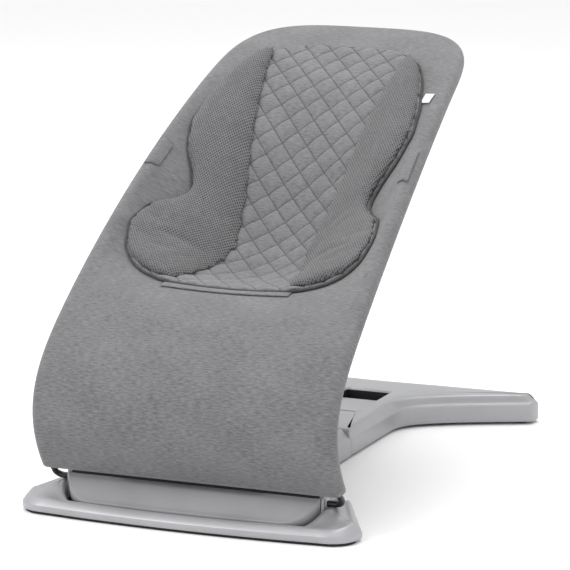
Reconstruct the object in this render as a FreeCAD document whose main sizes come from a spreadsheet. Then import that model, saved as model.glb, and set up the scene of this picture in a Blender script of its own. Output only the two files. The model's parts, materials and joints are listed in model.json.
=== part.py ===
import FreeCAD, Part
import math
import os
import Sketcher

# Infant bouncer seat, in millimetres, +Z up. The front faces -Y and +X is on the right.
# The origin is the centre of the object's box, at floor level.

SIZES = [
    ("base_length", 735.0, "front edge to rear edge of the base"),
    ("foot_width", 460.0, "front foot plate, side to side"),
    ("foot_depth", 112.0, "front foot plate, front to back"),
    ("foot_top", 34.0, "height of the front plate at its rear edge"),
    ("foot_front_top", 17.5, "height of the front plate at its rim"),
    ("foot_rear_narrowing", 30.0, "how far the plate's sides run in towards its rear"),
    ("rim_wall", 9.0, "upright edge of the front plate"),
    ("grip_height", 3.0, "rubber under the plates"),
    ("tray_thickness", 5.0, "underside trays"),
    ("wall", 3.0, "moulded wall"),
    ("recess_floor", 14.0, "floor of the recess in the front plate"),
    ("inlay_inset", 30.0, "rim around the recess, at the sides"),
    ("recess_setback", 18.0, "front edge of the recess, from the plate's front edge"),
    ("ramp_front", 19.0, "inlay's height at its front edge"),
    ("ramp_top", 47.0, "inlay's height at its rear edge"),
    ("ramp_half", 168.0, "half the width of the inlay's ramp at its top"),
    ("beam_length", 340.0, "pivot beam, side to side"),
    ("beam_front", 60.0, "pivot beam's front face, from the front edge"),
    ("beam_top", 52.0, "pivot beam's top"),
    ("cap_thickness", 6.0, "pivot beam's end caps"),
    ("pivot_setback", 74.0, "hinge axis, from the front edge"),
    ("pivot_height", 38.0, "hinge axis above the floor"),
    ("bush_diameter", 13.0, "hinge bush"),
    ("wire_diameter", 8.0, "steel wire of the lower frame"),
    ("running_clearance", 0.05, "radial clearance of a turning fit"),
    ("hub_diameter", 20.0, "brake hub"),
    ("hub_width", 22.0, "brake hub, along the axis"),
    ("shaft_diameter", 8.0, "shaft that joins the two hubs"),
    ("spine_width", 130.0, "spine, side to side"),
    ("spine_top", 40.0, "top of the spine"),
    ("spine_shoulder", 14.0, "bevel along the spine's top"),
    ("spine_split", 430.0, "joint between the front and rear base, from the front edge"),
    ("flare_start", 595.0, "where the rear foot starts to widen"),
    ("rear_bar_front", 700.0, "front edge of the rear foot at its tips"),
    ("paddle_width", 67.0, "release paddle"),
    ("paddle_front", 535.0, "front end of the release paddle"),
    ("paddle_length", 105.0, "release paddle, front to back"),
    ("well_length", 132.0, "recess around the paddle"),
    ("paddle_pin_height", 34.0, "paddle's pin above the floor"),
    ("paddle_arm", 12.0, "paddle's arm below its pin"),
    ("strap_width", 10.0, "pull strap inside the spine"),
    ("rail_start_setback", 54.1, "lower end of the side rail, from the front edge"),
    ("rail_start_height", 60.6, "lower end of the side rail above the floor"),
    ("rail_slope", 43.2, "rail's slope extrapolated to its lower end, degrees"),
    ("rail_slope_loss", 0.0252, "degrees of slope lost with each millimetre"),
    ("rail_turn", 87.1, "extra turn of the rail's front curve, degrees"),
    ("rail_turn_middle", 84.0, "middle of the front curve along the rail"),
    ("rail_turn_spread", 31.8, "spread of the front curve along the rail"),
    ("rail_top_bend_start", 600.0, "where the rail starts to lie back"),
    ("rail_top_bend", 0.00012, "how fast it lies back, degrees per square millimetre"),
    ("rail_half_width", 196.2, "rail centre from the middle, at its lower end"),
    ("rail_taper", 0.0000614, "narrowing towards the top, per square millimetre"),
    ("rail_corner_start", 686.5, "where the top corners start, along the rail"),
    ("rail_corner_length", 152.5, "length of the rounded top, along the rail"),
    ("rail_corner_power", 3.79, "squareness of the rounded top"),
    ("rail_diameter", 16.0, "tube of the seat frame"),
    ("rail_wall", 1.2, "its wall"),
    ("rail_joint", 560.0, "where the side tubes meet the top tube"),
    ("cover_lift", 9.2, "cover's underside above the rail's centre, at the edges"),
    ("cover_thickness", 3.0, "seat cover"),
    ("cover_sag", 112.4, "how far the middle of the cover hangs below its edges"),
    ("sag_margin", 2.4, "sag taken off everywhere, so that the ends are flat"),
    ("tube_clearance", 8.0, "how far the cover runs on over the tube before it sags"),
    ("sag_front", 322.0, "where the seat's hollow starts, along the rail"),
    ("sag_front_spread", 32.0, "how gently it starts"),
    ("sag_rear", 575.0, "where the seat's hollow ends, along the rail"),
    ("sag_rear_spread", 62.0, "how gently it ends"),
    ("insert_thickness", 6.0, "quilted insert"),
    ("bolster_thickness", 16.0, "padded side bolsters"),
    ("layer_gap", 1.4, "clear space between soft layers"),
]

doc = FreeCAD.newDocument("bouncer_seat")
sheet = doc.addObject("Spreadsheet::Sheet", "sizes")
size = {}
for row, (alias, value, note) in enumerate(SIZES, start=1):
    sheet.set("A%d" % row, note)
    sheet.set("B%d" % row, str(value))
    sheet.setAlias("B%d" % row, alias)
    size[alias] = value
doc.recompute()

V = FreeCAD.Vector
FRONT = -size["base_length"] / 2
HALF_FOOT = size["foot_width"] / 2
PIVOT = V(0, FRONT + size["pivot_setback"], size["pivot_height"])
nodes = []


# ---------------------------------------------------------------- helpers

def keep(obj, name):
    """Label an object as a sub-part that is written to its own file."""
    obj.Label = name
    nodes.append(obj)
    return obj


def bind(obj, bindings):
    """Bind properties of an object to the sheet."""
    for prop, text in bindings.items():
        obj.setExpression(prop, text)
    return obj


def box(name, bindings):
    """Box whose sizes and place are expressions."""
    return bind(doc.addObject("Part::Box", name), bindings)


def cylinder_x(name, bindings):
    """Cylinder along +X whose sizes and place are expressions."""
    obj = doc.addObject("Part::Cylinder", name)
    obj.Placement = FreeCAD.Placement(V(), FreeCAD.Rotation(V(0, 1, 0), 90))
    return bind(obj, bindings)


def cylinder_z(name, radius, height, x, y, z):
    """Upright cylinder at a fixed place."""
    obj = doc.addObject("Part::Cylinder", name)
    obj.Radius = radius
    obj.Height = height
    obj.Placement.Base = V(x, y, z)
    return obj


def cut(name, base, tool):
    """Base less tool."""
    obj = doc.addObject("Part::Cut", name)
    obj.Base = base
    obj.Tool = tool
    return obj


def fuse(name, shapes):
    """One solid from several that overlap."""
    obj = doc.addObject("Part::MultiFuse", name)
    obj.Shapes = shapes
    obj.Refine = True
    return obj


def group(name, shapes):
    """Separate solids in one sub-part."""
    obj = doc.addObject("Part::Compound", name)
    obj.Links = shapes
    return obj


def feature(name, shape):
    """Sub-part whose shape is worked out here."""
    obj = doc.addObject("Part::Feature", name)
    obj.Shape = shape
    obj.Placement = FreeCAD.Placement()
    return obj


def plane_of(body, role):
    """One of a body's own origin planes."""
    return next(f for f in body.Origin.OriginFeatures if f.Role == role)


def sketch_on(body, name, role, edges, offset=None):
    """Closed outline of lines and arcs on an origin plane, raised by an expression."""
    sketch = body.newObject("Sketcher::SketchObject", name)
    sketch.AttachmentSupport = [(plane_of(body, role), "")]
    sketch.MapMode = "FlatFace"
    for edge in edges:
        points = [V(x, y, 0) for x, y in edge]
        if len(points) == 2:
            sketch.addGeometry(Part.LineSegment(*points), False)
        else:
            sketch.addGeometry(Part.Arc(*points), False)
    for index in range(len(edges)):
        sketch.addConstraint(
            Sketcher.Constraint("Coincident", index, 2, (index + 1) % len(edges), 1))
    if offset:
        sketch.setExpression("AttachmentOffset.Base.z", offset)
    return sketch


def pad(body, name, sketch, length):
    """Pad whose length is an expression."""
    obj = body.newObject("PartDesign::Pad", name)
    obj.Profile = sketch
    obj.setExpression("Length", length)
    body.Tip = obj
    return obj


def pocket(body, name, sketch, length, upwards):
    """Pocket whose depth is an expression."""
    obj = body.newObject("PartDesign::Pocket", name)
    obj.Profile = sketch
    obj.setExpression("Length", length)
    obj.Reversed = upwards
    body.Tip = obj
    return obj


def bevel(body, name, base, test, amount, kind="PartDesign::Chamfer"):
    """Chamfer or fillet on the edges that pass a test."""
    doc.recompute()
    edges = ["Edge%d" % (i + 1) for i, e in enumerate(base.Shape.Edges) if test(e)]
    obj = body.newObject(kind, name)
    obj.Base = (base, edges)
    prop = "Size" if kind.endswith("Chamfer") else "Radius"
    obj.setExpression(prop, amount)
    body.Tip = obj
    return obj


def loop(points):
    """Straight edges round a list of corners."""
    return [(points[i], points[(i + 1) % len(points)]) for i in range(len(points))]


def mirrored(points):
    """Right half of an outline, followed by its mirror image."""
    return points + [(-x, y) for x, y in reversed(points)]


# ---------------------------------------------------------------- outlines

def foot_outline(inset):
    """Front plate seen from above: a bowed front edge, round corners and straight sides."""
    bow = 11.0
    corner_x = HALF_FOOT - 25.0 - inset
    corner_y = FRONT + bow + inset
    side_x = HALF_FOOT - inset
    side_y = FRONT + 45.0
    rear_x = HALF_FOOT - size["foot_rear_narrowing"] - inset
    rear_y = FRONT + size["foot_depth"]
    middle = (HALF_FOOT - 7.0 - inset, FRONT + 23.0 + inset * 0.7)
    mirror = (-middle[0], middle[1])
    return [
        ((-corner_x, corner_y), (0.0, FRONT + inset), (corner_x, corner_y)),
        ((corner_x, corner_y), middle, (side_x, side_y)),
        ((side_x, side_y), (rear_x, rear_y)),
        ((rear_x, rear_y), (-rear_x, rear_y)),
        ((-rear_x, rear_y), (-side_x, side_y)),
        ((-side_x, side_y), mirror, (-corner_x, corner_y)),
    ]


def recess_outline(inset, rear):
    """Recess in the front plate, with large round front corners, open to the rear."""
    half = HALF_FOOT - size["inlay_inset"] - inset
    front = FRONT + size["recess_setback"] + inset
    corner = 52.0
    middle = corner * (1 - math.sqrt(0.5))
    return [
        ((-half + corner, front), (half - corner, front)),
        ((half - corner, front), (half - middle, front + middle), (half, front + corner)),
        ((half, front + corner), (half - 20.0, rear)),
        ((half - 20.0, rear), (-half + 20.0, rear)),
        ((-half + 20.0, rear), (-half, front + corner)),
        ((-half, front + corner), (-half + middle, front + middle), (-half + corner, front)),
    ]


def inset_corners(corners, inset):
    """Move every straight edge of a counter-clockwise outline inwards by an inset."""
    moved = []
    count = len(corners)
    for index in range(count):
        before, here, after = (V(*corners[(index + i) % count], 0) for i in (-1, 0, 1))
        first = (here - before).normalize()
        second = (after - here).normalize()
        inward = V(-first.y - second.y, first.x + second.x, 0).normalize()
        reach = inset / (inward.x * -first.y + inward.y * first.x)
        moved.append((here.x + inward.x * reach, here.y + inward.y * reach))
    return moved


def rear_outline(inset, start_inset=0.0):
    """Rear foot seen from above: the spine, its flare and the wide rear bar."""
    half = size["spine_width"] / 2
    start = FRONT + size["spine_split"] + 0.3
    flare = FRONT + size["flare_start"]
    rear_edge = FRONT + size["base_length"]
    tip = HALF_FOOT - 2.0
    tip_front = FRONT + size["rear_bar_front"]
    corners = inset_corners(mirrored([
        (half, start),
        (half, flare),
        (half + 15.0, flare + 31.0),
        (half + 62.0, flare + 64.0),
        (tip - 18.0, tip_front + 5.0),
        (tip, tip_front + 11.0),
        (tip, rear_edge),
    ]), inset)
    corners[0] = (half - inset, start + start_inset)
    corners[-1] = (-half + inset, start + start_inset)
    return loop(corners)


def top_edge(height):
    """Test for edges that lie at a height."""
    return lambda e: all(abs(v.Z - height) < 1e-3 for v in e.Vertexes)


# ---------------------------------------------------------------- rail

def rail_heading(at):
    """Direction of the rail in side view, in radians, at a length along it."""
    turn = size["rail_turn"] / (
        1 + math.exp((at - size["rail_turn_middle"]) / size["rail_turn_spread"]))
    back = max(at - size["rail_top_bend_start"], 0.0)
    angle = size["rail_slope"] - size["rail_slope_loss"] * at + turn
    return math.radians(angle - size["rail_top_bend"] * back * back)


RAIL_END = size["rail_corner_start"] + size["rail_corner_length"]
RAIL_STEP = 0.5
rail_table = [(FRONT + size["rail_start_setback"], size["rail_start_height"])]
for index in range(int(RAIL_END / RAIL_STEP) + 2):
    angle = rail_heading((index + 0.5) * RAIL_STEP)
    last_y, last_z = rail_table[-1]
    rail_table.append((last_y + RAIL_STEP * math.cos(angle), last_z + RAIL_STEP * math.sin(angle)))


def rail_side(at):
    """Height and fore-and-aft place of the rail at a length along it."""
    place = min(max(at / RAIL_STEP, 0.0), len(rail_table) - 1.001)
    index = int(place)
    part = place - index
    (y0, z0), (y1, z1) = rail_table[index], rail_table[index + 1]
    return y0 + (y1 - y0) * part, z0 + (z1 - z0) * part


def rail_half(at):
    """Distance of the rail's centre from the middle, with the round top."""
    straight = size["rail_half_width"] - size["rail_taper"] * at * at
    part = min(max((at - size["rail_corner_start"]) / size["rail_corner_length"], 0.0), 1.0)
    power = size["rail_corner_power"]
    return straight * (1 - part ** power) ** (1 / power)


def rail_point(at, side):
    """Point on the rail's centre line, on one side."""
    y, z = rail_side(at)
    return V(side * rail_half(at), y, z)


def cover_depth(at):
    """Depth of the cover's middle below its edges: a smooth hollow for the seat."""
    front = 1 / (1 + math.exp((size["sag_front"] - at) / size["sag_front_spread"]))
    rear = 1 / (1 + math.exp((at - size["sag_rear"]) / size["sag_rear_spread"]))
    return max(size["cover_sag"] * front * rear - size["sag_margin"], 0.0)


def surface_point(x, at, offset):
    """Point on the hanging cover, raised from its surface by an offset."""
    y, z = rail_side(at)
    angle = rail_heading(at)
    half = rail_half(at)
    inside = max(half - abs(x), 0.0)
    clear = inside * inside / (inside * inside + size["tube_clearance"] ** 2)
    sag = cover_depth(at) * clear * (1 - min(abs(x) / max(half, 1.0), 1.0) ** 2)
    raised = size["cover_lift"] + offset - sag
    return V(x, y - math.sin(angle) * raised, z + math.cos(angle) * raised)


def steps(first, last, count):
    """Evenly spaced values, both ends included."""
    return [first + (last - first) * i / (count - 1) for i in range(count)]


def slab(stations, edges, low, high, columns=9, knees=(0.0,)):
    """Closed soft sheet that follows the cover: sections lofted along the rail.

    stations are lengths along the rail, edges gives the left and right edge at a length,
    low and high are the sheet's faces above the cover's underside, and knees are distances
    in from each edge where a section has points of its own, outside the even ones.
    """
    def spread(left, right):
        across = [left + knee for knee in knees[:-1]]
        across += steps(left + knees[-1], right - knees[-1], columns)
        return across + [right - knee for knee in reversed(knees[:-1])]

    widest = [max(abs(edge) for edge in edges(at)) for at in stations]
    shared = spread(*edges(stations[widest.index(max(widest))]))
    places = [(x - shared[0]) / (shared[-1] - shared[0]) for x in shared]
    sections = []
    for at in stations:
        across = spread(*edges(at))
        upper = [surface_point(x, at, high) for x in across]
        lower = [surface_point(x, at, low) for x in reversed(across)]
        top_curve = Part.BSplineCurve()
        top_curve.interpolate(Points=upper, Parameters=places)
        low_curve = Part.BSplineCurve()
        low_curve.interpolate(Points=lower, Parameters=[1 - place for place in reversed(places)])
        sections.append(Part.Wire([
            top_curve.toShape(),
            Part.LineSegment(upper[-1], lower[0]).toShape(),
            low_curve.toShape(),
            Part.LineSegment(lower[-1], upper[0]).toShape(),
        ]))
    return Part.makeLoft(sections, True, False)


def tube_along(points, radius, bore=0.0, plane_normal=None):
    """Round bar or tube lofted through circles that stand square to a smooth curve.

    plane_normal is a direction that the curve never runs along. It keeps the circles from
    twisting against each other.
    """
    path = Part.BSplineCurve()
    path.interpolate(points)
    across = plane_normal or V(1, 0, 0)

    def lofted(r):
        rings = []
        for point in points:
            tangent = path.tangent(path.parameter(point))[0]
            turn = FreeCAD.Rotation(across, V(), tangent, "ZXY")
            ring = Part.Wire([Part.Circle(V(), V(0, 0, 1), r).toShape()])
            ring.Placement = FreeCAD.Placement(point, turn)
            rings.append(ring)
        return Part.makeLoft(rings, True, False)

    outer = lofted(radius)
    return outer.cut(lofted(bore)) if bore else outer


# ---------------------------------------------------------------- front foot

SCREWS = [(-185.0, FRONT + 92.0), (185.0, FRONT + 92.0), (-120.0, FRONT + 40.0), (120.0, FRONT + 40.0)]
REAR_SCREWS = [(-180.0, FRONT + 718.0), (180.0, FRONT + 718.0), (-45.0, FRONT + 690.0), (45.0, FRONT + 690.0)]
SCREW_HEAD = 4.0
SCREW_HEAD_DEPTH = 2.5
SCREW_SHANK = 1.9
SCREW_REACH = 12.5


def screw_tools(places, clear, top):
    """Screws, or the holes for them when clear is more than nothing."""
    tools = []
    floor = size["grip_height"]
    for x, y in places:
        tools.append(cylinder_z("screw_head", SCREW_HEAD + clear, SCREW_HEAD_DEPTH + clear, x, y, floor))
        tools.append(cylinder_z("screw_shank", SCREW_SHANK + clear, top + clear - floor, x, y, floor))
    return tools


def pairs(tools):
    """Fuse each screw's head and shank."""
    return [fuse("screw", tools[i:i + 2]) for i in range(0, len(tools), 2)]


strip_outer = doc.addObject("PartDesign::Body", "strip_body")
strip_sketch = sketch_on(strip_outer, "strip_outline", "XY_Plane", foot_outline(5.0))
pad(strip_outer, "strip_pad", strip_sketch, "sizes.grip_height")
strip_inner_sketch = sketch_on(strip_outer, "strip_inner", "XY_Plane", foot_outline(17.0))
pocket(strip_outer, "strip_pocket", strip_inner_sketch, "sizes.grip_height", True)
strip_rear = box("strip_rear", {
    "Length": "sizes.foot_width", "Width": "sizes.foot_depth", "Height": "sizes.grip_height + 2",
    "Placement.Base.x": "-sizes.foot_width / 2",
    "Placement.Base.y": "-sizes.base_length / 2 + 62", "Placement.Base.z": "-1"})
keep(cut("front_grip_strip", strip_outer, strip_rear), "front_grip_strip")

tray = doc.addObject("PartDesign::Body", "tray_body")
tray_sketch = sketch_on(tray, "tray_outline", "XY_Plane", foot_outline(6.3), "sizes.grip_height")
pad(tray, "tray_pad", tray_sketch, "sizes.tray_thickness")
tray_holes = group("tray_holes", pairs(screw_tools(SCREWS, 0.1, SCREW_REACH)))
keep(cut("front_foot_tray", tray, tray_holes), "front_foot_tray")

cover = doc.addObject("PartDesign::Body", "foot_cover_body")
cover_sketch = sketch_on(cover, "cover_outline", "XY_Plane", foot_outline(0.0), "sizes.grip_height + 1")
pad(cover, "cover_pad", cover_sketch, "sizes.rim_wall")
RIM_BEVEL = 13.0
RISE = (size["foot_top"] - size["foot_front_top"]) / size["foot_depth"]
TILT = math.atan(RISE)
rim_low = sketch_on(
    cover, "rim_low", "XY_Plane", foot_outline(0.0), "sizes.grip_height + 1 + sizes.rim_wall")
tilted = [
    tuple((x, y / math.cos(TILT)) for x, y in edge) for edge in foot_outline(RIM_BEVEL)]
rim_high = sketch_on(cover, "rim_high", "XY_Plane", tilted)
rim_high.AttachmentOffset = FreeCAD.Placement(
    V(0, 0, size["foot_front_top"] - FRONT * RISE), FreeCAD.Rotation(V(1, 0, 0), math.degrees(TILT)))
rim = cover.newObject("PartDesign::AdditiveLoft", "rim_loft")
rim.Profile = rim_low
rim.Sections = [rim_high]
rim.Ruled = True
cover.Tip = rim
recess_sketch = sketch_on(
    cover, "recess", "XY_Plane", recess_outline(0.0, FRONT + size["foot_depth"] + 1.0),
    "sizes.recess_floor")
pocket(cover, "recess_pocket", recess_sketch, "40", True)
tray_seat = sketch_on(cover, "tray_seat", "XY_Plane", foot_outline(6.0), "sizes.grip_height")
pocket(cover, "tray_seat_pocket", tray_seat, "sizes.tray_thickness", True)
cover_holes = group("cover_holes", pairs(screw_tools(SCREWS, 0.1, SCREW_REACH)))
keep(cut("front_foot_cover", cover, cover_holes), "front_foot_cover")
keep(group("front_screws", pairs(screw_tools(SCREWS, 0.0, SCREW_REACH))), "front_screws")

inlay = doc.addObject("PartDesign::Body", "inlay_body")
INLAY_GAP = 3.0
RAMP_LOW = size["recess_setback"] + INLAY_GAP
RAMP_HIGH = size["beam_front"] - 0.3
RAMP_SLOPE = (size["ramp_top"] - size["ramp_front"]) / (RAMP_HIGH - RAMP_LOW)
inlay_sketch = sketch_on(
    inlay, "inlay_outline", "XY_Plane", recess_outline(INLAY_GAP, FRONT + size["foot_depth"]),
    "sizes.recess_floor")
pad(inlay, "inlay_pad", inlay_sketch, "sizes.ramp_top - sizes.recess_floor")


def inlay_pocket(label, plane, outline):
    """Cut the inlay right through along a sketch."""
    profile = sketch_on(inlay, label + "_sketch", plane, loop(outline))
    tool = inlay.newObject("PartDesign::Pocket", label)
    tool.Profile = profile
    tool.Type = "ThroughAll"
    tool.Midplane = True
    inlay.Tip = tool


ABOVE = size["ramp_top"] + 12.0
BELOW = size["recess_floor"] - 2.0
inlay_pocket("ramp_cut", "YZ_Plane", [
    (FRONT, size["ramp_front"] - RAMP_LOW * RAMP_SLOPE),
    (FRONT + RAMP_HIGH, size["ramp_top"]),
    (FRONT + RAMP_HIGH, ABOVE), (FRONT, ABOVE)])
for side, word in ((-1, "left"), (1, "right")):
    inlay_pocket("ramp_side_" + word, "XZ_Plane", [
        (side * size["ramp_half"], size["ramp_top"] + 2.0), (side * HALF_FOOT, BELOW),
        (side * HALF_FOOT, ABOVE), (side * size["ramp_half"], ABOVE)][::side])
ramp_wall = 3.0 * math.hypot(1.0, RAMP_SLOPE)
hollow_front = RAMP_LOW + 8.0
hollow_rear = RAMP_HIGH - 2.5
hollow = [
    V(0, FRONT + y, z) for y, z in (
        (hollow_front, BELOW), (hollow_rear, BELOW),
        (hollow_rear, size["ramp_front"] + (hollow_rear - RAMP_LOW) * RAMP_SLOPE - ramp_wall),
        (hollow_front, size["ramp_front"] + (hollow_front - RAMP_LOW) * RAMP_SLOPE - ramp_wall))]
hollow_half = size["ramp_half"] - 5.0
hollow_face = Part.Face(Part.makePolygon(hollow + hollow[:1]))
hollow_face.translate(V(-hollow_half, 0, 0))
ramp_hollow = feature("ramp_hollow", hollow_face.extrude(V(2 * hollow_half, 0, 0)))
beam_space = box("beam_space", {
    "Length": "sizes.foot_width", "Width": "sizes.foot_depth", "Height": "60",
    "Placement.Base.x": "-sizes.foot_width / 2",
    "Placement.Base.y": "-sizes.base_length / 2 + sizes.beam_front - 0.3", "Placement.Base.z": "10"})
inlay_tools = fuse("inlay_tools", [ramp_hollow, beam_space])
keep(cut("foot_inlay", inlay, inlay_tools), "foot_inlay")

# ---------------------------------------------------------------- hinge beam

beam_block = box("beam_block", {
    "Length": "sizes.beam_length", "Width": "sizes.foot_depth - sizes.beam_front - 0.3",
    "Height": "sizes.beam_top - sizes.recess_floor",
    "Placement.Base.x": "-sizes.beam_length / 2",
    "Placement.Base.y": "-sizes.base_length / 2 + sizes.beam_front",
    "Placement.Base.z": "sizes.recess_floor"})
beam_round = doc.addObject("Part::Fillet", "beam_round")
beam_round.Base = beam_block
doc.recompute()
beam_edges = [
    (i + 1, 9.0, 9.0) for i, e in enumerate(beam_block.Shape.Edges)
    if top_edge(size["beam_top"])(e) and abs(e.Vertexes[0].Y - e.Vertexes[-1].Y) < 1e-3]
beam_round.Edges = beam_edges
BEAM_END_WALL = 12.0
beam_hollow = box("beam_hollow", {
    "Length": "sizes.beam_length - 2 * 12",
    "Width": "sizes.foot_depth - sizes.beam_front - 0.3 - 2 * sizes.wall",
    "Height": "sizes.beam_top - sizes.recess_floor - sizes.wall",
    "Placement.Base.x": "-sizes.beam_length / 2 + 12",
    "Placement.Base.y": "-sizes.base_length / 2 + sizes.beam_front + sizes.wall",
    "Placement.Base.z": "sizes.recess_floor"})
strap_slot = box("strap_slot", {
    "Length": "sizes.strap_width + 2", "Width": "20", "Height": "7",
    "Placement.Base.x": "-sizes.strap_width / 2 - 1",
    "Placement.Base.y": "-sizes.base_length / 2 + sizes.foot_depth - 12", "Placement.Base.z": "22"})
AXIS_PLACE = {
    "Placement.Base.y": "-sizes.base_length / 2 + sizes.pivot_setback",
    "Placement.Base.z": "sizes.pivot_height"}
bush_bore = cylinder_x("bush_bore", dict(AXIS_PLACE, **{
    "Radius": "sizes.bush_diameter / 2", "Height": "sizes.beam_length + 40",
    "Placement.Base.x": "-sizes.beam_length / 2 - 20"}))
shoe_pin_bore = cylinder_x("shoe_pin_bore", {
    "Radius": "2", "Height": "sizes.beam_length - 8",
    "Placement.Base.x": "-sizes.beam_length / 2 + 4",
    "Placement.Base.y": "-sizes.base_length / 2 + 97", "Placement.Base.z": "24"})
beam_tools = fuse("beam_tools", [beam_hollow, strap_slot, bush_bore, shoe_pin_bore])
keep(cut("pivot_beam", beam_round, beam_tools), "pivot_beam")

pin_body = cylinder_x("shoe_pin_rod", {
    "Radius": "1.95", "Height": "sizes.beam_length - 8",
    "Placement.Base.x": "-sizes.beam_length / 2 + 4",
    "Placement.Base.y": "-sizes.base_length / 2 + 97", "Placement.Base.z": "24"})
keep(pin_body, "shoe_pin")

for side, word in ((-1, "left"), (1, "right")):
    cap_block = box("cap_block", {
        "Length": "sizes.cap_thickness", "Width": "sizes.foot_depth - sizes.beam_front - 0.3",
        "Height": "sizes.beam_top - sizes.recess_floor",
        "Placement.Base.x": "%d * sizes.beam_length / 2 + %s" % (side, "0" if side > 0 else "-sizes.cap_thickness"),
        "Placement.Base.y": "-sizes.base_length / 2 + sizes.beam_front",
        "Placement.Base.z": "sizes.recess_floor"})
    cap_round = doc.addObject("Part::Fillet", "cap_round")
    cap_round.Base = cap_block
    doc.recompute()
    cap_round.Edges = [
        (i + 1, 9.0, 9.0) for i, e in enumerate(cap_block.Shape.Edges)
        if top_edge(size["beam_top"])(e) and abs(e.Vertexes[0].Y - e.Vertexes[-1].Y) < 1e-3]
    cap_bore = cylinder_x("cap_bore", dict(AXIS_PLACE, **{
        "Radius": "sizes.bush_diameter / 2", "Height": "60",
        "Placement.Base.x": "%d * sizes.beam_length / 2 - 30" % side}))
    keep(cut("pivot_cap_" + word, cap_round, cap_bore), "pivot_cap_" + word)

    start = "sizes.beam_length / 2 - 12" if side > 0 else "-sizes.beam_length / 2 - sizes.cap_thickness"
    bush_outer = cylinder_x("bush_outer", dict(AXIS_PLACE, **{
        "Radius": "sizes.bush_diameter / 2", "Height": "sizes.cap_thickness + 12", "Placement.Base.x": start}))
    bush_inner = cylinder_x("bush_inner", dict(AXIS_PLACE, **{
        "Radius": "sizes.wire_diameter / 2 + sizes.running_clearance", "Height": "sizes.cap_thickness + 20",
        "Placement.Base.x": start + " - 4"}))
    keep(cut("pivot_bush_" + word, bush_outer, bush_inner), "pivot_bush_" + word)

    hub_start = "130" if side > 0 else "-130 - sizes.hub_width"
    hub_outer = cylinder_x("hub_outer", dict(AXIS_PLACE, **{
        "Radius": "sizes.hub_diameter / 2", "Height": "sizes.hub_width", "Placement.Base.x": hub_start}))
    hub_bore = cylinder_x("hub_bore", dict(AXIS_PLACE, **{
        "Radius": "sizes.wire_diameter / 2 + sizes.running_clearance", "Height": "sizes.hub_width - 6",
        "Placement.Base.x": "136" if side > 0 else "-130 - sizes.hub_width"}))
    keep(cut("brake_hub_" + word, hub_outer, hub_bore), "brake_hub_" + word)

    shoe_block = box("shoe_block", {
        "Length": "sizes.hub_width - 4", "Width": "18", "Height": "24",
        "Placement.Base.x": "132" if side > 0 else "-132 - sizes.hub_width + 4",
        "Placement.Base.y": "-sizes.base_length / 2 + 84", "Placement.Base.z": "20.5"})
    shoe_bore = cylinder_x("shoe_bore", {
        "Radius": "2", "Height": "sizes.hub_width + 20",
        "Placement.Base.x": "122" if side > 0 else "-122 - sizes.hub_width - 20",
        "Placement.Base.y": "-sizes.base_length / 2 + 97", "Placement.Base.z": "24"})
    shoe_face = cylinder_x("shoe_face", dict(AXIS_PLACE, **{
        "Radius": "sizes.hub_diameter / 2 + 0.4", "Height": "sizes.hub_width + 20",
        "Placement.Base.x": "122" if side > 0 else "-122 - sizes.hub_width - 20"}))
    toe = box("shoe_toe", {
        "Length": "sizes.hub_width + 20", "Width": "8", "Height": "9",
        "Placement.Base.x": "122" if side > 0 else "-122 - sizes.hub_width - 20",
        "Placement.Base.y": "-sizes.base_length / 2 + 82", "Placement.Base.z": "20"})
    shoe_tools = fuse("shoe_tools", [shoe_bore, shoe_face, toe])
    keep(cut("brake_shoe_" + word, shoe_block, shoe_tools), "brake_shoe_" + word)

hub_shaft = cylinder_x("hub_shaft", dict(AXIS_PLACE, **{
    "Radius": "sizes.shaft_diameter / 2", "Height": "260", "Placement.Base.x": "-130"}))
keep(hub_shaft, "hub_shaft")

# ---------------------------------------------------------------- spine

half_spine = size["spine_width"] / 2
shoulder = size["spine_shoulder"]
wall = size["wall"]
low_edge = size["grip_height"] + 1.0
top = size["spine_top"]


def channel(half, bottom, height, bevel_size, thickness):
    """Upside-down channel profile with bevelled shoulders."""
    inner = half - thickness
    inner_top = height - thickness
    trim = bevel_size - thickness * 0.6
    right = [
        (half, bottom), (half, height - bevel_size), (half - bevel_size, height)]
    left = [(-x, z) for x, z in reversed(right)]
    hollow = [
        (-inner, bottom), (-inner, inner_top - trim + thickness * 0.4),
        (-inner + trim, inner_top), (inner - trim, inner_top),
        (inner, inner_top - trim + thickness * 0.4), (inner, bottom)]
    return loop(right + left + hollow)


spine = doc.addObject("PartDesign::Body", "spine_body")
spine_sketch = sketch_on(
    spine, "spine_profile", "XZ_Plane", channel(half_spine, low_edge, top, shoulder, wall))
spine_sketch.setExpression(
    "AttachmentOffset.Base.z", "sizes.base_length / 2 - sizes.foot_depth - 0.3")
spine_pad = pad(spine, "spine_pad", spine_sketch, "sizes.spine_split - sizes.foot_depth - 0.3")
spine_pad.Reversed = True
LATCH_BACK = FRONT + 400.0
LATCH_TILT = 45.0
LATCH_CENTRE = V(half_spine - shoulder / 2, LATCH_BACK + 9.0, top - shoulder / 2)


def latch_box(name, width, length, low, high):
    """Box that stands out square to the bevelled shoulder."""
    shape = Part.makeBox(width, length, high - low, V(-width / 2, -length / 2, low))
    turn = FreeCAD.Rotation(V(0, 1, 0), LATCH_TILT)
    shape.Placement = FreeCAD.Placement(LATCH_CENTRE, turn)
    return feature(name, shape)


latch_hole = latch_box("latch_hole", 7.0, 18.6, -8.0, 8.0)
keep(cut("front_spine_cover", spine, latch_hole), "front_spine_cover")
latch_stem = latch_box("latch_stem", 6.0, 17.6, -5.0, 1.2)
latch_flange = latch_box("latch_flange", 9.0, 21.0, -5.0, -3.2)
keep(fuse("spine_latch", [latch_stem, latch_flange]), "spine_latch")

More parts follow.
